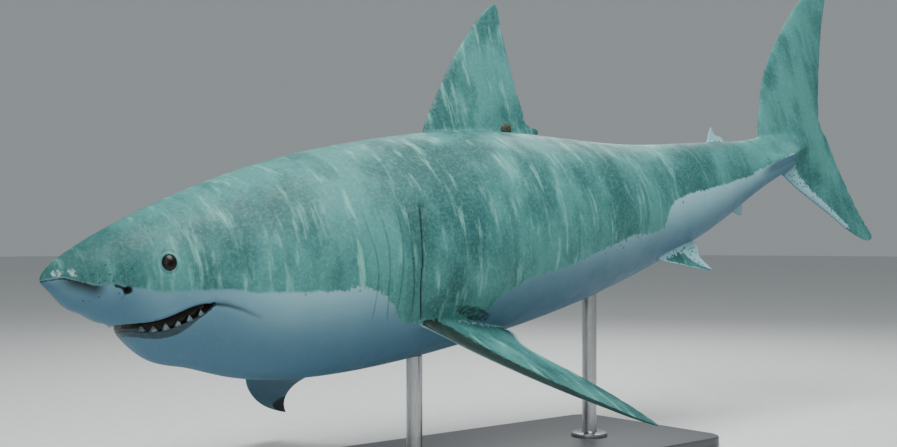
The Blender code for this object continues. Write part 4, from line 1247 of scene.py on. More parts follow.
            # painted shade where the lid's skin sinks to meet the eye
            shade += bell(reach - 0.93, 0.07)
        nose, dark = self.nostril_form(s, z)
        slits, gill_shade = self.gill_form(s, z)
        fold, share = segment_distance(s * length, z * length, [(a * length, b * length) for a, b in self.jaw_fold])
        crease = bell(fold, 4.8 * MM) * (1 - share) ** 0.5
        lip = bell((z - self.mouth.roof_at(s)) * length - 7 * MM, 6 * MM)
        lip = lip * smooth((s - 0.055) / 0.01) * smooth((0.103 - s) / 0.01)
        pit = bell((s - 0.847) * length, 9 * MM) * bell(y / 0.006, 1.0)
        body = nose + slits - 4.5 * MM * crease + 1.6 * MM * lip - 5 * MM * pit
        body += 2.0 * MM * bell(fold - 13 * MM, 9 * MM) * (share > 0.02) * (1 - share)
        depth += np.where(outside, body, 0.0)
        under = np.interp(s, self.edge_at, self.edge_z) - z
        below = under * length
        # painted shade: a dark band under the slate's edge near the snout's tip, fading downwards
        snout_under_shade = smooth(below / (2 * MM)) * smooth((38 * MM - below) / (34 * MM))
        snout_under_shade *= smooth((0.038 - s) / 0.010) * (0.20 + 0.80 * smooth((s - 0.005) / 0.012))
        # painted shade in the nostrils, the gill slits and the jaw's fold, and under the snout's edge
        shade += np.where(outside, dark + gill_shade + 0.85 * crease + 0.98 * snout_under_shade, 0.0)
        return depth, np.clip(shade, 0, 1), np.clip(rim, 0, 1)

    def nostril_form(self, s: Array, z: Array) -> tuple[Array, Array]:
        """Relief and shade of the nostrils."""
        length = self.body.spine.length
        u, v = (s - self.nostril.at) * length, (z - self.nostril.z) * length
        wide, high, deep = self.nostril.pit
        pit = np.exp(-(((u / wide) ** 2 + (v / high) ** 2) ** 1.5))
        groove, share = segment_distance(u, v, self.nostril.groove)
        groove = bell(groove, 3.5 * MM) * share
        under, down = segment_distance(u, v, self.nostril.under)
        under = bell(under, 3.0 * MM) * (1 - down)
        rim = bell(np.hypot(u + 2 * MM, v) - 12 * MM, 4 * MM)
        relief = -deep * pit - 3.0 * MM * groove - 2.5 * MM * under + 1.2 * MM * rim
        return relief, 1.15 * smooth(pit * 1.6) + 0.8 * groove + 0.5 * under

    def gill_form(self, s: Array, z: Array) -> tuple[Array, Array]:
        """Relief and shade of the gill slits: a raised flap in front, a cut, and a dip behind it."""
        length = self.body.spine.length
        relief, dark = np.zeros(len(s)), np.zeros(len(s))
        for slit, strength in zip(self.gills.slits, self.gills.strength):
            heights = [point[1] for point in slit]
            inside = smooth((z - min(heights)) / 0.010) * smooth((max(heights) - z) / 0.016)
            u = (s - self.gills.line(slit)(z)) * length
            cut = bell(u, self.gills.width * (0.7 + 0.6 * strength))
            flap = np.where(u < 0, np.exp(np.minimum(u, 0) / (16 * MM)), 0) * smooth(-u / (3 * MM))
            dip = np.where(u > 0, np.exp(-np.maximum(u, 0) / (14 * MM)), 0)
            form = self.gills.flap * flap - self.gills.depth * cut - 2.0 * MM * dip
            relief += inside * strength * form
            dark += inside * strength * (0.95 * cut + 0.12 * dip + strength**4 * (0.22 * flap + 0.26 * dip))
        return relief, dark

    @staticmethod
    def under(s: Array, facing: Array) -> Array:
        """How much painted shade each point of the underside takes: most where it faces down, away from the light, and
        more on the head.
        """
        turned = smooth((facing + 0.15) / 1.05)
        return turned + (1 - turned) * 0.60 * smooth((0.17 - s) / 0.09)

    def paint(self, skin: bpy.types.Object, at: tuple, source: tuple, done: dict[Mark, Array]) -> None:
        """Stores the markings for the hide's shader."""
        s, y, z = at
        length = self.body.spine.length
        away = self.body.off_skin(s, y, z) * length
        fin, along, across = source
        border = (z - np.interp(s, self.edge_at, self.edge_z)) * length
        speckle = 0.25 * smooth((s - 0.14) / 0.08) + 0.75 * bell(s - 0.545, 0.045)
        dark, pale = np.zeros(len(s)), np.zeros(len(s))
        for number, one in enumerate(self.fins):
            here = (fin == number) & (away > 1 * MM)
            marks = self.fin_marks(one, along, across)
            for field_of, value in zip((border, dark, pale, speckle), marks):
                field_of[here] = value[here]
        on_body = (fin < 0).astype(float)
        body_dark, body_pale = np.zeros(len(s)), np.zeros(len(s))
        self.flank_marks(at, border, body_dark, body_pale)
        dark, pale = dark + body_dark * on_body, pale + body_pale * on_body
        lining = self.lining(s, y, z, fin)
        pores = bell(s - 0.034, 0.016) * bell(z - 0.001, 0.0065) + 0.5 * bell(s - 0.056, 0.018) * bell(z + 0.004, 0.006)
        pores += 0.6 * bell(s - 0.030, 0.014) * bell(z + 0.013, 0.006)
        set_attribute(skin, Mark.LIE.value, np.stack([s, y, z], -1) * length)
        for mark, values in (
            (Mark.BORDER, border), (Mark.SPECKLE, speckle), (Mark.LINING, lining), (Mark.DARK, dark),
            (Mark.PALE, pale), (Mark.PORES, np.clip(pores, 0, 1)), *done.items(),
        ):  # fmt: skip
            set_attribute(skin, mark.value, values)

    def lining(self, s: Array, y: Array, z: Array, fin: Array) -> Array:
        """Where the mouth's inside is: 0.5 on the gums and 1 further in."""
        floor, roof = self.mouth.gape(s, y)
        inward = self.mouth.inward(s, y)
        inside = (s > self.mouth.jaw_front - 0.0005) & (s < self.mouth.at[-1] + 0.002) & (fin < 0) & (inward > -0.5 * MM)
        inside &= (z < roof + 0.0010) & (z > floor - 0.0010)
        low = z < (floor + roof) / 2
        deep = np.where(low, smooth((inward - 12 * MM) / (8 * MM)), smooth((inward - 0.5 * MM) / (4 * MM)))
        lined = np.where(inside, smooth((inward + 0.5 * MM) / (2.5 * MM)) * (0.5 + 0.5 * deep), 0.0)
        lip = self.mouth.floor_at(s)
        height = (z - lip) * self.body.spine.length
        room = np.maximum((self.mouth.roof_at(s) - lip) * self.body.spine.length, 2 * MM)
        near = (s > self.mouth.jaw_front - 0.001) & (s < self.mouth.at[-1]) & (fin < 0) & (inward > -7 * MM)
        share = height / room
        face = smooth((height + 1 * MM) / (2 * MM)) * smooth((1.08 - share) / 0.08) * (0.5 + 0.45 * smooth((share - 0.30) / 0.35))
        reach = 13 * MM * smooth((self.mouth.at[-1] - 0.004 - s) / 0.020)
        band = 0.5 * smooth((height + reach) / (7 * MM)) * smooth((1 * MM - height) / (1 * MM)) * smooth(reach / (3 * MM))
        return np.where(near, np.maximum(lined, np.maximum(face, band * (inward < 16 * MM))), lined)

    def fin_marks(self, fin: Fin, along: Array, across: Array) -> tuple[Array, Array, Array, Array]:
        """Border, dark, pale and speckle values over one fin."""
        over, across = across >= 0, np.abs(across)
        slate, none = np.full(len(along), 50 * MM), np.zeros(len(along))
        if "pectoral" in fin.name:
            edge = np.where(over, 50 * MM, -50 * MM)
            leading = smooth((0.27 - across) / 0.14) * smooth((along + 0.02) / 0.06) * 0.68
            tip = smooth((along + 0.35 * across - 1.02) / 0.08) * 0.7
            pale = np.zeros(len(along))
            for at, back in ((0.46, 0.34), (0.50, 0.38), (0.585, 0.30), (0.68, 0.33), (0.92, 0.45), (0.78, 0.30)):
                pale += bell(along - at, 0.016) * bell(across - back, 0.07) * 0.55
            # painted highlight: a pale line along the upper side's rear edge, near the root
            pale += smooth((across - 0.93) / 0.03) * smooth((0.62 - along) / 0.2) * smooth((along - 0.10) / 0.04) * 0.9
            return edge, np.where(over, leading, tip), np.where(over, pale, 0), none + 0.3
        if "pelvic" in fin.name:
            band = np.minimum((0.46 - across) * 60 * MM, (along - 0.20) * 90 * MM)
            band = np.minimum(band, (across - 0.05) * 200 * MM)
            return np.where(over, band, -slate), none, none, none + 1.4
        if "anal" in fin.name or "second" in fin.name:
            return -slate, none, none, none
        if "lower" in fin.name:
            band = np.maximum((across - 0.20 + 0.05 * along) * 140 * MM, (along - 0.66) * 300 * MM)
            return np.maximum(band, (0.10 - along) * 200 * MM), none, none, none + 0.9
        wear = smooth((across - 0.93) / 0.05) * 0.28
        return slate, wear, none, none

    def flank_marks(self, at: tuple[Array, Array, Array], border: Array, dark: Array, pale: Array) -> None:
        """Adds the marks of the body: behind the pectoral fins, under the dorsal fin and on the snout, where pale
        patches are painted light and the nostril's groove gets painted shade.

        Args:
            at: body coordinates.
            border: metres above the slate's edge.
            dark: dark marks, changed in place.
            pale: pale marks, changed in place.
        """
        s, y, z = at
        axil = np.hypot((s - 0.3225) / 0.0290, (z + 0.0645 + 0.30 * (s - 0.3225)) / 0.0064)
        dark += smooth((1.15 - axil) / 0.45) * 0.54
        for middle, height, reach in ((0.3985, 0.0715, 0.009), (0.4120, 0.0700, 0.006), (0.4235, 0.0725, 0.003)):
            dark += bell(s - middle, reach) * bell(z - height - 0.12 * (s - middle), 0.0011) * 0.5 * (y > 0)
        tip = smooth((0.036 - s) / 0.012)
        dark += tip * bell(border + 2.5 * MM, 4.0 * MM) * 0.62
        dark += bell(s - 0.0110, 0.0030) * bell(border - 14 * MM, 9 * MM) * 0.46
        # painted light: two pale patches near the snout's tip, where light fell on it
        spots = bell(s - 0.0078, 0.0042) * bell(border - 11 * MM, 14 * MM)
        spots += bell(s - 0.0168, 0.0036) * bell(border - 17 * MM, 16 * MM)
        pale += np.minimum(spots * 0.74, 0.53)
        # painted shade: the groove from the nostril darkened with the dark marks' colour
        u, v = (s - self.nostril.at) * self.body.spine.length, (z - self.nostril.z) * self.body.spine.length
        groove, share = segment_distance(u, v, self.nostril.groove)
        dark += bell(groove, 6.5 * MM) * smooth(share * 3.0) * 0.70
        dots = ((0.0395, 0.0010), (0.0430, 0.0006), (0.0460, 0.0002), (0.0505, -0.0042))
        for middle, height in dots:
            dark += bell(s - middle, 0.0013) * bell(z - height, 0.0008) * 0.6


# ---- teeth ---------------------------------------------------------------------------------------------
@dataclass
class TeethRow:
    """The lower teeth: two rows along the jaw's rim, from the chin back to the mouth's corners."""

    mouth: Mouth
    per_side: int = 7
    start: float = 0.22  # share of the way from the chin to the corner
    end: float = 0.87
    widest: float = 25 * MM
    narrowest: float = 16 * MM
    height: float = 18 * MM
    sunk: float = 2 * MM
    seed: int = 5

    def rim(self, side: int) -> bpy.types.Object:
        """A line along the gum of one side, with the size that a tooth may have at each point."""
        mouth, body = self.mouth, self.mouth.body
        length = body.spine.length
        at, edge = mouth.outline()
        run = np.concatenate([[0.0], np.cumsum(np.hypot(np.diff(at), np.diff(edge)))])
        share = np.linspace(self.start, self.end, 60)
        s, y = np.interp(share * run[-1], run, at), np.interp(share * run[-1], run, edge)
        ds, dy = np.gradient(s), np.gradient(y)
        norm = np.hypot(ds, dy) * length / mouth.gum_in
        s, y = s + dy / norm, (y - ds / norm) * side
        foot, roof = mouth.gape(s, y)
        points = body.spine.place(s, y, foot - self.sunk / length)
        mesh = bpy.data.meshes.new("gum_line")
        mesh.from_pydata(points.tolist(), [(k, k + 1) for k in range(len(points) - 1)], [])
        made = bpy.data.objects.new("gum_line", mesh)
        bpy.context.scene.collection.objects.link(made)
        room = np.clip((mouth.roof_at(s) - foot) * length - 2 * MM, 4 * MM, self.height)
        set_attribute(made, "room", room + self.sunk)
        set_attribute(made, "breadth", self.widest + (self.narrowest - self.widest) * np.linspace(0, 1, 60))
        return made

    def blank(self) -> bpy.types.Object:
        """One tooth, 1 wide and 1 tall: a broad, pointed, slightly saw-edged blade."""
        levels = np.array([0.0, 0.12, 0.28, 0.45, 0.62, 0.78, 0.90, 1.0])
        width = np.array([1.0, 0.98, 0.86, 0.70, 0.52, 0.33, 0.17, 0.02]) / 2
        width = width + np.array([0, 0, 0.012, -0.008, 0.010, -0.006, 0.004, 0])
        turn = np.arange(10) * (2 * math.pi / 10)
        x = np.cos(turn)[None, :] * width[:, None]
        y = np.sin(turn)[None, :] * (0.36 * width)[:, None] + 0.06 * levels[:, None] ** 2
        z = np.repeat(levels[:, None], 10, axis=1)
        made = new_object("tooth_blank", *tube(np.stack([x, y, z], -1)))
        set_attribute(made, "crown", z.ravel())
        return made

    def tree(self) -> bpy.types.NodeTree:
        """Nodes that set a row of teeth along a line: one at each resampled point, turned to the line."""
        tree = bpy.data.node_groups.new("teeth_along_gum", "GeometryNodeTree")
        sockets = tree.interface
        sockets.new_socket("Gum line", in_out="INPUT", socket_type="NodeSocketGeometry")
        for name, kind in (
            ("Tooth", "NodeSocketObject"), ("Count", "NodeSocketInt"), ("Unevenness", "NodeSocketFloat"), ("Up", "NodeSocketVector"), ("Seed", "NodeSocketInt"),
            ("Finish", "NodeSocketMaterial"),
        ):  # fmt: skip
            sockets.new_socket(name, in_out="INPUT", socket_type=kind)
        sockets.new_socket("Teeth", in_out="OUTPUT", socket_type="NodeSocketGeometry")
        given = add_node(tree, "NodeGroupInput").outputs
        curve = add_node(tree, "GeometryNodeMeshToCurve", None, {"Mesh": given["Gum line"]})
        even = add_node(tree, "GeometryNodeResampleCurve", None, {"Curve": curve.outputs[0], "Count": given["Count"]})
        tangent = add_node(tree, "GeometryNodeInputTangent").outputs[0]
        axes = {"primary_axis": "Z", "secondary_axis": "X"}
        turned = add_node(tree, "FunctionNodeAxesToRotation", axes, {0: given["Up"], 1: tangent})
        room = add_node(tree, "GeometryNodeInputNamedAttribute", {"data_type": "FLOAT"}, {"Name": "room"})
        least = add_node(tree, "ShaderNodeMath", {"operation": "SUBTRACT"}, {0: 1.0, 1: given["Unevenness"]})
        uneven = add_node(
            tree, "FunctionNodeRandomValue", {"data_type": "FLOAT"}, {"Min": least.outputs[0], "Max": 1.0, "Seed": given["Seed"]}
        )
        tall = add_node(tree, "ShaderNodeMath", {"operation": "MULTIPLY"}, {0: room.outputs[0], 1: uneven.outputs[1]})
        broad = add_node(tree, "GeometryNodeInputNamedAttribute", {"data_type": "FLOAT"}, {"Name": "breadth"}).outputs[0]
        size = add_node(tree, "ShaderNodeCombineXYZ", None, {"X": broad, "Y": broad, "Z": tall.outputs[0]})
        blank = add_node(tree, "GeometryNodeObjectInfo", None, {"Object": given["Tooth"]})
        inputs = {"Points": even.outputs[0], "Instance": blank.outputs["Geometry"]}
        inputs |= {"Rotation": turned.outputs[0], "Scale": size.outputs[0]}
        placed = add_node(tree, "GeometryNodeInstanceOnPoints", None, inputs)
        solid = add_node(tree, "GeometryNodeRealizeInstances", None, {"Geometry": placed.outputs[0]})
        painted = add_node(
            tree, "GeometryNodeSetMaterial", None, {"Geometry": solid.outputs[0], "Material": given["Finish"]}
        )
        add_node(tree, "NodeGroupOutput", None, {0: painted.outputs[0]})
        return tree

    def build(self, finish: bpy.types.Material) -> list[bpy.types.Object]:
        """Both rows, as plain meshes."""
        tree, blank = self.tree(), self.blank()
        up = self.mouth.body.spine.directions(np.array(0.07))[2]
        rows = []
        for side, label in ((1, "left"), (-1, "right")):
            line = self.rim(side)
            values = {"Tooth": blank, "Count": self.per_side, "Unevenness": 0.3}
            apply_tree(line, tree, values | {"Up": Vector(up), "Seed": self.seed + side, "Finish": finish})
            rows.append(dressed(finished(line, "lower_teeth_" + label), finish, 50.0))
        bpy.data.objects.remove(blank, do_unlink=True)
        return rows


def apply_tree(obj: bpy.types.Object, tree: bpy.types.NodeTree, values: dict) -> None:
    """Puts a Geometry Nodes tree on an object and sets its inputs.

    Args:
        obj: the object.
        tree: the node tree.
        values: a value for each named input.
    """
    modifier = obj.modifiers.new(tree.name, "NODES")
    modifier.node_group = tree
    for item in tree.interface.items_tree:
        if item.in_out == "INPUT" and item.name in values:
            modifier[item.identifier] = values[item.name]


# ---- tag -----------------------------------------------------------------------------------------------
@dataclass
class Tag:
    """A small fouled case at the foot of the dorsal fin, with a tuft of weed on top."""

    spine: Spine
    weed_seed: int = 3
    weed_density: float = 26000.0  # strands for each square metre of the case's top
    strand: float = 9 * MM

    def case(self, finish: bpy.types.Material) -> bpy.types.Object:
        """The case: a rounded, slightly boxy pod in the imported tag's own box."""
        low, high = (np.array(corner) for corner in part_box("tag"))
        centre = (low + high) / 2
        tail, left, back = self.spine.directions(np.array(0.446))
        work = bmesh.new()
        bmesh.ops.create_uvsphere(work, u_segments=40, v_segments=28, radius=1.0)
        for vertex in work.verts:
            unit = np.array(vertex.co)
            boxy = np.sign(unit) * np.abs(unit) ** 0.82
            ridge = 1 + 0.06 * math.exp(-((unit[2] / 0.10) ** 2)) + 0.03 * math.sin(9 * unit[0]) * math.sin(7 * unit[1])
            vertex.co = centre + (tail * boxy[0] * 19 * MM + back * boxy[1] * 18 * MM) * ridge + left * boxy[2] * 7.5 * MM
        bmesh.ops.recalc_face_normals(work, faces=work.faces)
        mesh = bpy.data.meshes.new("tag_case")
        work.to_mesh(mesh)
        work.free()
        made = bpy.data.objects.new("tag_case", mesh)
        bpy.context.scene.collection.objects.link(made)
        return dressed(made, finish, 60.0)

    def strand_blank(self) -> bpy.types.Object:
        """One short tapering strand of weed, 1 tall."""
        levels = np.array([0.0, 0.35, 0.7, 1.0])
        width = np.array([0.16, 0.20, 0.13, 0.02])
        turn = np.arange(5) * (2 * math.pi / 5)
        x = np.cos(turn)[None, :] * width[:, None] + 0.25 * levels[:, None] ** 2
        y = np.sin(turn)[None, :] * width[:, None]
        z = np.repeat(levels[:, None], 5, axis=1)
        return new_object("weed_blank", *tube(np.stack([x, y, z], -1)))

    def tree(self) -> bpy.types.NodeTree:
        """Nodes that scatter strands over the upper part of a case."""
        tree = bpy.data.node_groups.new("weed_on_tag", "GeometryNodeTree")
        sockets = tree.interface
        sockets.new_socket("Case", in_out="INPUT", socket_type="NodeSocketGeometry")
        for name, kind in (
            ("Strand", "NodeSocketObject"), ("Density", "NodeSocketFloat"), ("Length", "NodeSocketFloat"),
            ("Above", "NodeSocketFloat"), ("Seed", "NodeSocketInt"), ("Finish", "NodeSocketMaterial"),
        ):  # fmt: skip
            sockets.new_socket(name, in_out="INPUT", socket_type=kind)
        sockets.new_socket("Weed", in_out="OUTPUT", socket_type="NodeSocketGeometry")
        given = add_node(tree, "NodeGroupInput").outputs
        place = add_node(tree, "ShaderNodeSeparateXYZ", None, {0: add_node(tree, "GeometryNodeInputPosition").outputs[0]})
        high = add_node(tree, "FunctionNodeCompare", {"data_type": "FLOAT"}, {0: place.outputs["Z"], 1: given["Above"]})
        inputs = {"Mesh": given["Case"], "Selection": high.outputs[0], "Density": given["Density"], "Seed": given["Seed"]}
        points = add_node(tree, "GeometryNodeDistributePointsOnFaces", None, inputs)
        lean = add_node(
            tree, "FunctionNodeRandomValue", {"data_type": "FLOAT_VECTOR"},
            {0: (-0.5, -0.5, -3.1), 1: (0.5, 0.5, 3.1), "Seed": given["Seed"]},
        )  # fmt: skip
        leant = add_node(
            tree, "FunctionNodeRotateRotation", {"rotation_space": "LOCAL"},
            {0: points.outputs["Rotation"], 1: lean.outputs[0]},
        )  # fmt: skip
        length = add_node(
            tree, "FunctionNodeRandomValue", {"data_type": "FLOAT"}, {"Min": 0.5, "Max": 1.2, "Seed": given["Seed"]}
        )
        size = add_node(tree, "ShaderNodeMath", {"operation": "MULTIPLY"}, {0: given["Length"], 1: length.outputs[1]})
        blank = add_node(tree, "GeometryNodeObjectInfo", None, {"Object": given["Strand"]})
        inputs = {"Points": points.outputs["Points"], "Instance": blank.outputs["Geometry"]}
        inputs |= {"Rotation": leant.outputs[0], "Scale": size.outputs[0]}
        placed = add_node(tree, "GeometryNodeInstanceOnPoints", None, inputs)
        solid = add_node(tree, "GeometryNodeRealizeInstances", None, {"Geometry": placed.outputs[0]})
        painted = add_node(
            tree, "GeometryNodeSetMaterial", None, {"Geometry": solid.outputs[0], "Material": given["Finish"]}
        )
        add_node(tree, "NodeGroupOutput", None, {0: painted.outputs[0]})
        return tree

    def weed(self, case: bpy.types.Object, finish: bpy.types.Material) -> bpy.types.Object:
        """The tuft of weed, as a plain mesh."""
        blank = self.strand_blank()
        copy = bpy.data.objects.new("weed_base", case.data.copy())
        bpy.context.scene.collection.objects.link(copy)
        low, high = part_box("tag")
        values = {"Strand": blank, "Density": self.weed_density, "Length": self.strand}
        values |= {"Above": low.z + 0.62 * (high.z - low.z), "Seed": self.weed_seed, "Finish": finish}
        apply_tree(copy, self.tree(), values)
        made = dressed(finished(copy, "tag_weed"), finish, 60.0)
        bpy.data.objects.remove(blank, do_unlink=True)
        return made


# ---- stand ---------------------------------------------------------------------------------------------
@dataclass
class DisplayStand:
    """A lacquered board and two brushed steel rods with screwed flanges."""

    corner: float = 80 * MM
    edge_round: float = 6 * MM
    rod: float = 24 * MM
    flange: float = 60 * MM
    flange_height: float = 12 * MM
    screws: int = 4
    turns: int = 64

    def board(self, finish: bpy.types.Material) -> bpy.types.Object:
        """The board, with a rounded upper edge and a thin shadow line round its side."""
        low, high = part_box("stand_base")
        middle, half = (low + high) / 2, (high - low) / 2
        profile = [(4 * MM, 0.0), (2 * MM, 2 * MM), (0.0, 2.5 * MM), (0.0, 9 * MM), (1.2 * MM, 9.6 * MM), (1.2 * MM, 10.8 * MM)]
        profile += [(0.0, 11.4 * MM), (0.0, high.z - self.edge_round)]
        for k in range(1, 7):
            turn = math.pi / 2 * k / 6
            profile.append((self.edge_round * (1 - math.cos(turn)), high.z - self.edge_round * (1 - math.sin(turn))))
        loops = []
        for inset, z in profile:
            corner = self.corner - inset
            x, y = half.x - inset - corner, half.y - inset - corner
            turn = np.linspace(0, math.pi / 2, 13)
            quarters = [(1, 1, 0), (-1, 1, 1), (-1, -1, 2), (1, -1, 3)]
            loop = [
                np.stack(
                    [middle.x + sx * x + corner * np.cos(turn + q * math.pi / 2),
                     middle.y + sy * y + corner * np.sin(turn + q * math.pi / 2), np.full(13, z)], -1,
                )
                for sx, sy, q in quarters
            ]  # fmt: skip
            loops.append(np.concatenate(loop))
        return dressed(new_object("stand_board", *tube(np.array(loops))), finish, 30.0)

    def rod_piece(self, node: str, name: str, finish: bpy.types.Material) -> bpy.types.Object:
        """One rod with its flange, turned as on a lathe, up into the belly that it carries."""
        low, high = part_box(node)
        middle = (low + high) / 2
        foot, top = low.z, high.z
        shoulder = foot + self.flange_height
        profile = [(0.001, foot), (self.flange - 1 * MM, foot), (self.flange, foot + 1 * MM), (self.flange, shoulder - 2 * MM)]
        profile += [(self.flange - 0.6 * MM, shoulder - 0.6 * MM), (self.flange - 2 * MM, shoulder), (self.rod + 6 * MM, shoulder)]
        for k in range(1, 6):
            turn = math.pi / 2 * k / 5
            profile.append((self.rod + 6 * MM * (1 - math.sin(turn)), shoulder + 6 * MM * (1 - math.cos(turn))))
        profile += [(self.rod, shoulder + 60 * MM), (self.rod, top - 4 * MM), (self.rod - 1 * MM, top - 3 * MM), (0.001, top - 3 * MM)]
        turn = np.arange(self.turns) * (2 * math.pi / self.turns)
        ring = np.stack([np.cos(turn), np.sin(turn), 0 * turn], -1)
        loops = [ring * radius + [middle.x, middle.y, z] for radius, z in profile]
        return dressed(new_object(name, *tube(np.array(loops))), finish, 35.0)

    def screw_blank(self) -> bpy.types.Object:
        """A button-head screw with a six-sided socket, seen from above its seat."""
        turn = np.arange(24) * (2 * math.pi / 24)
        six = 2.6 * MM / np.cos((turn % (math.pi / 3)) - math.pi / 6)
        steps = [(6.0, -1.0), (6.0, 0.3), (5.6, 1.6), (4.6, 2.6), (3.4, 3.0)]
        loops = [np.stack([np.cos(turn) * r * MM, np.sin(turn) * r * MM, np.full(24, z * MM)], -1) for r, z in steps]
        for z in (3.0, 1.2):
            loops.append(np.stack([np.cos(turn) * six, np.sin(turn) * six, np.full(24, z * MM)], -1))
        return new_object("screw_blank", *tube(np.array(loops)))

    def tree(self) -> bpy.types.NodeTree:
        """Nodes that set screws evenly on a circle round each point of a mesh."""
        tree = bpy.data.node_groups.new("screws_on_flange", "GeometryNodeTree")
        sockets = tree.interface
        sockets.new_socket("Centres", in_out="INPUT", socket_type="NodeSocketGeometry")
        for name, kind in (
            ("Screw", "NodeSocketObject"), ("Count", "NodeSocketInt"), ("Circle", "NodeSocketFloat"),
            ("Finish", "NodeSocketMaterial"),
        ):  # fmt: skip
            sockets.new_socket(name, in_out="INPUT", socket_type=kind)
        sockets.new_socket("Screws", in_out="OUTPUT", socket_type="NodeSocketGeometry")
        given = add_node(tree, "NodeGroupInput").outputs
        circle = add_node(tree, "GeometryNodeMeshCircle", None, {"Vertices": given["Count"], "Radius": given["Circle"]})
        blank = add_node(tree, "GeometryNodeObjectInfo", None, {"Object": given["Screw"]})
        inputs = {"Points": circle.outputs[0], "Instance": blank.outputs["Geometry"]}
        ring = add_node(tree, "GeometryNodeInstanceOnPoints", None, inputs)
        inputs = {"Points": given["Centres"], "Instance": ring.outputs[0]}
        placed = add_node(tree, "GeometryNodeInstanceOnPoints", None, inputs)
        solid = add_node(tree, "GeometryNodeRealizeInstances", None, {"Geometry": placed.outputs[0]})
        painted = add_node(
            tree, "GeometryNodeSetMaterial", None, {"Geometry": solid.outputs[0], "Material": given["Finish"]}
        )
        add_node(tree, "NodeGroupOutput", None, {0: painted.outputs[0]})
        return tree

    def screw_piece(self, nodes: Sequence[str], finish: bpy.types.Material) -> bpy.types.Object:
        """The flanges' screws, as a plain mesh."""
        blank = self.screw_blank()
        places = []
        for node in nodes:
            low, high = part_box(node)
            places.append(((low.x + high.x) / 2, (low.y + high.y) / 2, low.z + self.flange_height))
        centres = new_object("flange_centres", np.array(places), [], False)
        values = {"Screw": blank, "Count": self.screws, "Circle": (self.flange + self.rod) / 2 + 2 * MM, "Finish": finish}
        apply_tree(centres, self.tree(), values)
        made = dressed(finished(centres, "flange_screws"), finish, 40.0)
        bpy.data.objects.remove(blank, do_unlink=True)
        return made


# ---- studio --------------------------------------------------------------------------------------------
@dataclass
class Studio:
    """A plain pale floor, soft light from above and the camera."""

    eye_point: Triple = (-2.8385, -2.9077, 0.7266)
    azimuth: float = 39.9
    lens: float = 49.12
    shift: tuple[float, float] = (0.0078, 0.0056)
    floor_radius: float = 30.0

    def floor(self, finish: bpy.types.Material) -> bpy.types.Object:
        """A wide round floor, dished a little at its rim."""
        turn = np.arange(96) * (2 * math.pi / 96)
        ring = np.stack([np.cos(turn), np.sin(turn), 0 * turn], -1)
        steps = [(0.01, 0.0), (2.0, 0.0), (5.0, 0.0), (self.floor_radius, 0.0), (self.floor_radius, -0.05), (0.01, -0.05)]
        loops = [ring * radius + [0, 0, z] for radius, z in steps]
        made = dressed(new_object("studio_floor", *tube(np.array(loops))), finish, 30.0)
        return made

    def camera(self) -> None:
        """The camera at the shark's left front quarter, level with its flank."""
        data = bpy.data.cameras.new("camera")
        data.lens, data.sensor_width = self.lens, 36.0
        data.shift_x, data.shift_y = self.shift
        made = bpy.data.objects.new("camera", data)
        made.location = self.eye_point
        made.rotation_euler = (math.pi / 2, 0, -math.radians(self.azimuth))
        bpy.context.scene.collection.objects.link(made)
        bpy.context.scene.camera = made

    def lights(self) -> None:
        """A large soft light overhead, a weaker one by the camera, and a pale room."""
        for name, place, size, power in (
            ("key", (-1.0, -1.6, 4.6), 3.4, 330.0),
            ("fill", (-4.2, -3.0, 2.4), 3.0, 40.0),
            ("rim", (2.6, 2.2, 3.4), 2.6, 90.0),
        ):
            data = bpy.data.lights.new(name, "AREA")
            data.shape, data.size, data.energy = "DISK", size, power
            made = bpy.data.objects.new(name, data)
            made.location = place
            aim = Vector((0, 0, 0.7)) - Vector(place)
            made.rotation_euler = aim.to_track_quat("-Z", "Y").to_euler()
            bpy.context.scene.collection.objects.link(made)
        world = bpy.data.worlds.new("room")
        world.use_nodes = True
        background = world.node_tree.nodes["Background"]
        background.inputs["Color"].default_value = linear("DDE6EA")
        background.inputs["Strength"].default_value = 0.38
        bpy.context.scene.world = world


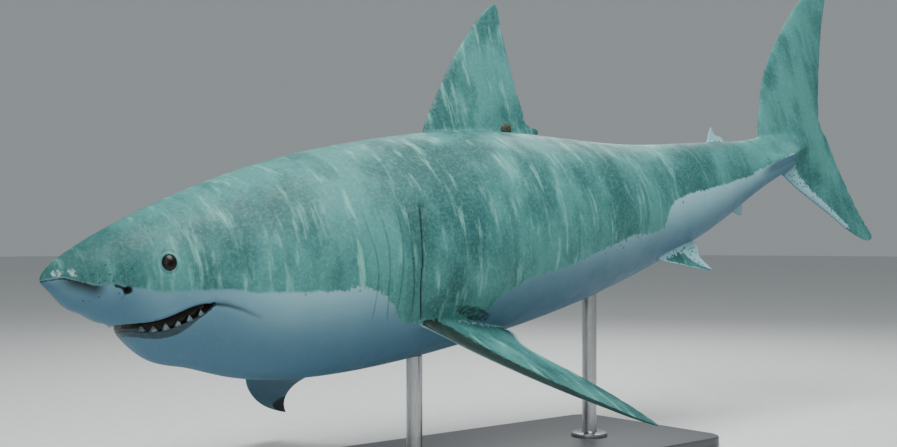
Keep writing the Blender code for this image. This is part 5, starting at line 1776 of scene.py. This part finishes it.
# ---- the scene -----------------------------------------------------------------------------------------
FLESH = (
    "head", "lower_jaw", "gill_region", "trunk_front", "trunk_rear", "tail_base", "tail_stock", "dorsal_fin",
    "second_dorsal_fin", "anal_fin", "tail_upper_lobe", "tail_lower_lobe", "pectoral_fin_left", "pectoral_fin_right",
    "pelvic_fin_left", "pelvic_fin_right",
)  # fmt: skip


def hand_over(piece: bpy.types.Object, slot: str, *nodes: str) -> None:
    """Makes a finished piece part of the model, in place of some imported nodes, and reports it."""
    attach(piece, "root")
    if nodes:
        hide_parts(*nodes)
    log.info("%s: %d faces, replaces %s", piece.name, len(piece.data.polygons), ", ".join(nodes) or "nothing")


def main() -> None:
    """Builds each piece in order and sets up the studio."""
    logging.basicConfig(level=logging.INFO, format="%(name)s %(message)s")
    for name in ("Cube", "Light", "Camera"):
        if name in bpy.data.objects:
            bpy.data.objects.remove(bpy.data.objects[name], do_unlink=True)
    body = BodyForm(Spine())
    mouth, eye = Mouth(body), Eye(body)
    skin = SharkSkin(body, mouth, eye, make_fins(body)).build(SharkHide().build())
    hand_over(skin, "slate_skin", *FLESH)
    glass = GlassEye().build()
    for side, label in ((1, "left"), (-1, "right")):
        hand_over(eye.ball(side, glass), "eye_surface", "eye_" + label)
    for row in TeethRow(mouth).build(ToothEnamel().build()):
        hand_over(row, "pale_skin")
    tag = Tag(body.spine)
    case = tag.case(TAG_NYLON.build())
    hand_over(case, "tag_shell", "tag")
    hand_over(tag.weed(case, GREEN_WEED.build()), "tag_shell")
    stand = DisplayStand()
    hand_over(stand.board(BOARD_LACQUER.build()), "base_lacquer", "stand_base")
    steel = BRUSHED_STEEL.build()
    hand_over(stand.rod_piece("stand_rod_front", "steel_rod_front", steel), "rod_steel", "stand_rod_front")
    hand_over(stand.rod_piece("stand_rod_rear", "steel_rod_rear", steel), "rod_steel", "stand_rod_rear")
    hand_over(stand.screw_piece(("stand_rod_front", "stand_rod_rear"), steel), "rod_steel")
    studio = Studio()
    studio.floor(FLOOR_PAINT.build())
    studio.lights()
    studio.camera()


if __name__ == "__main__":
    main()
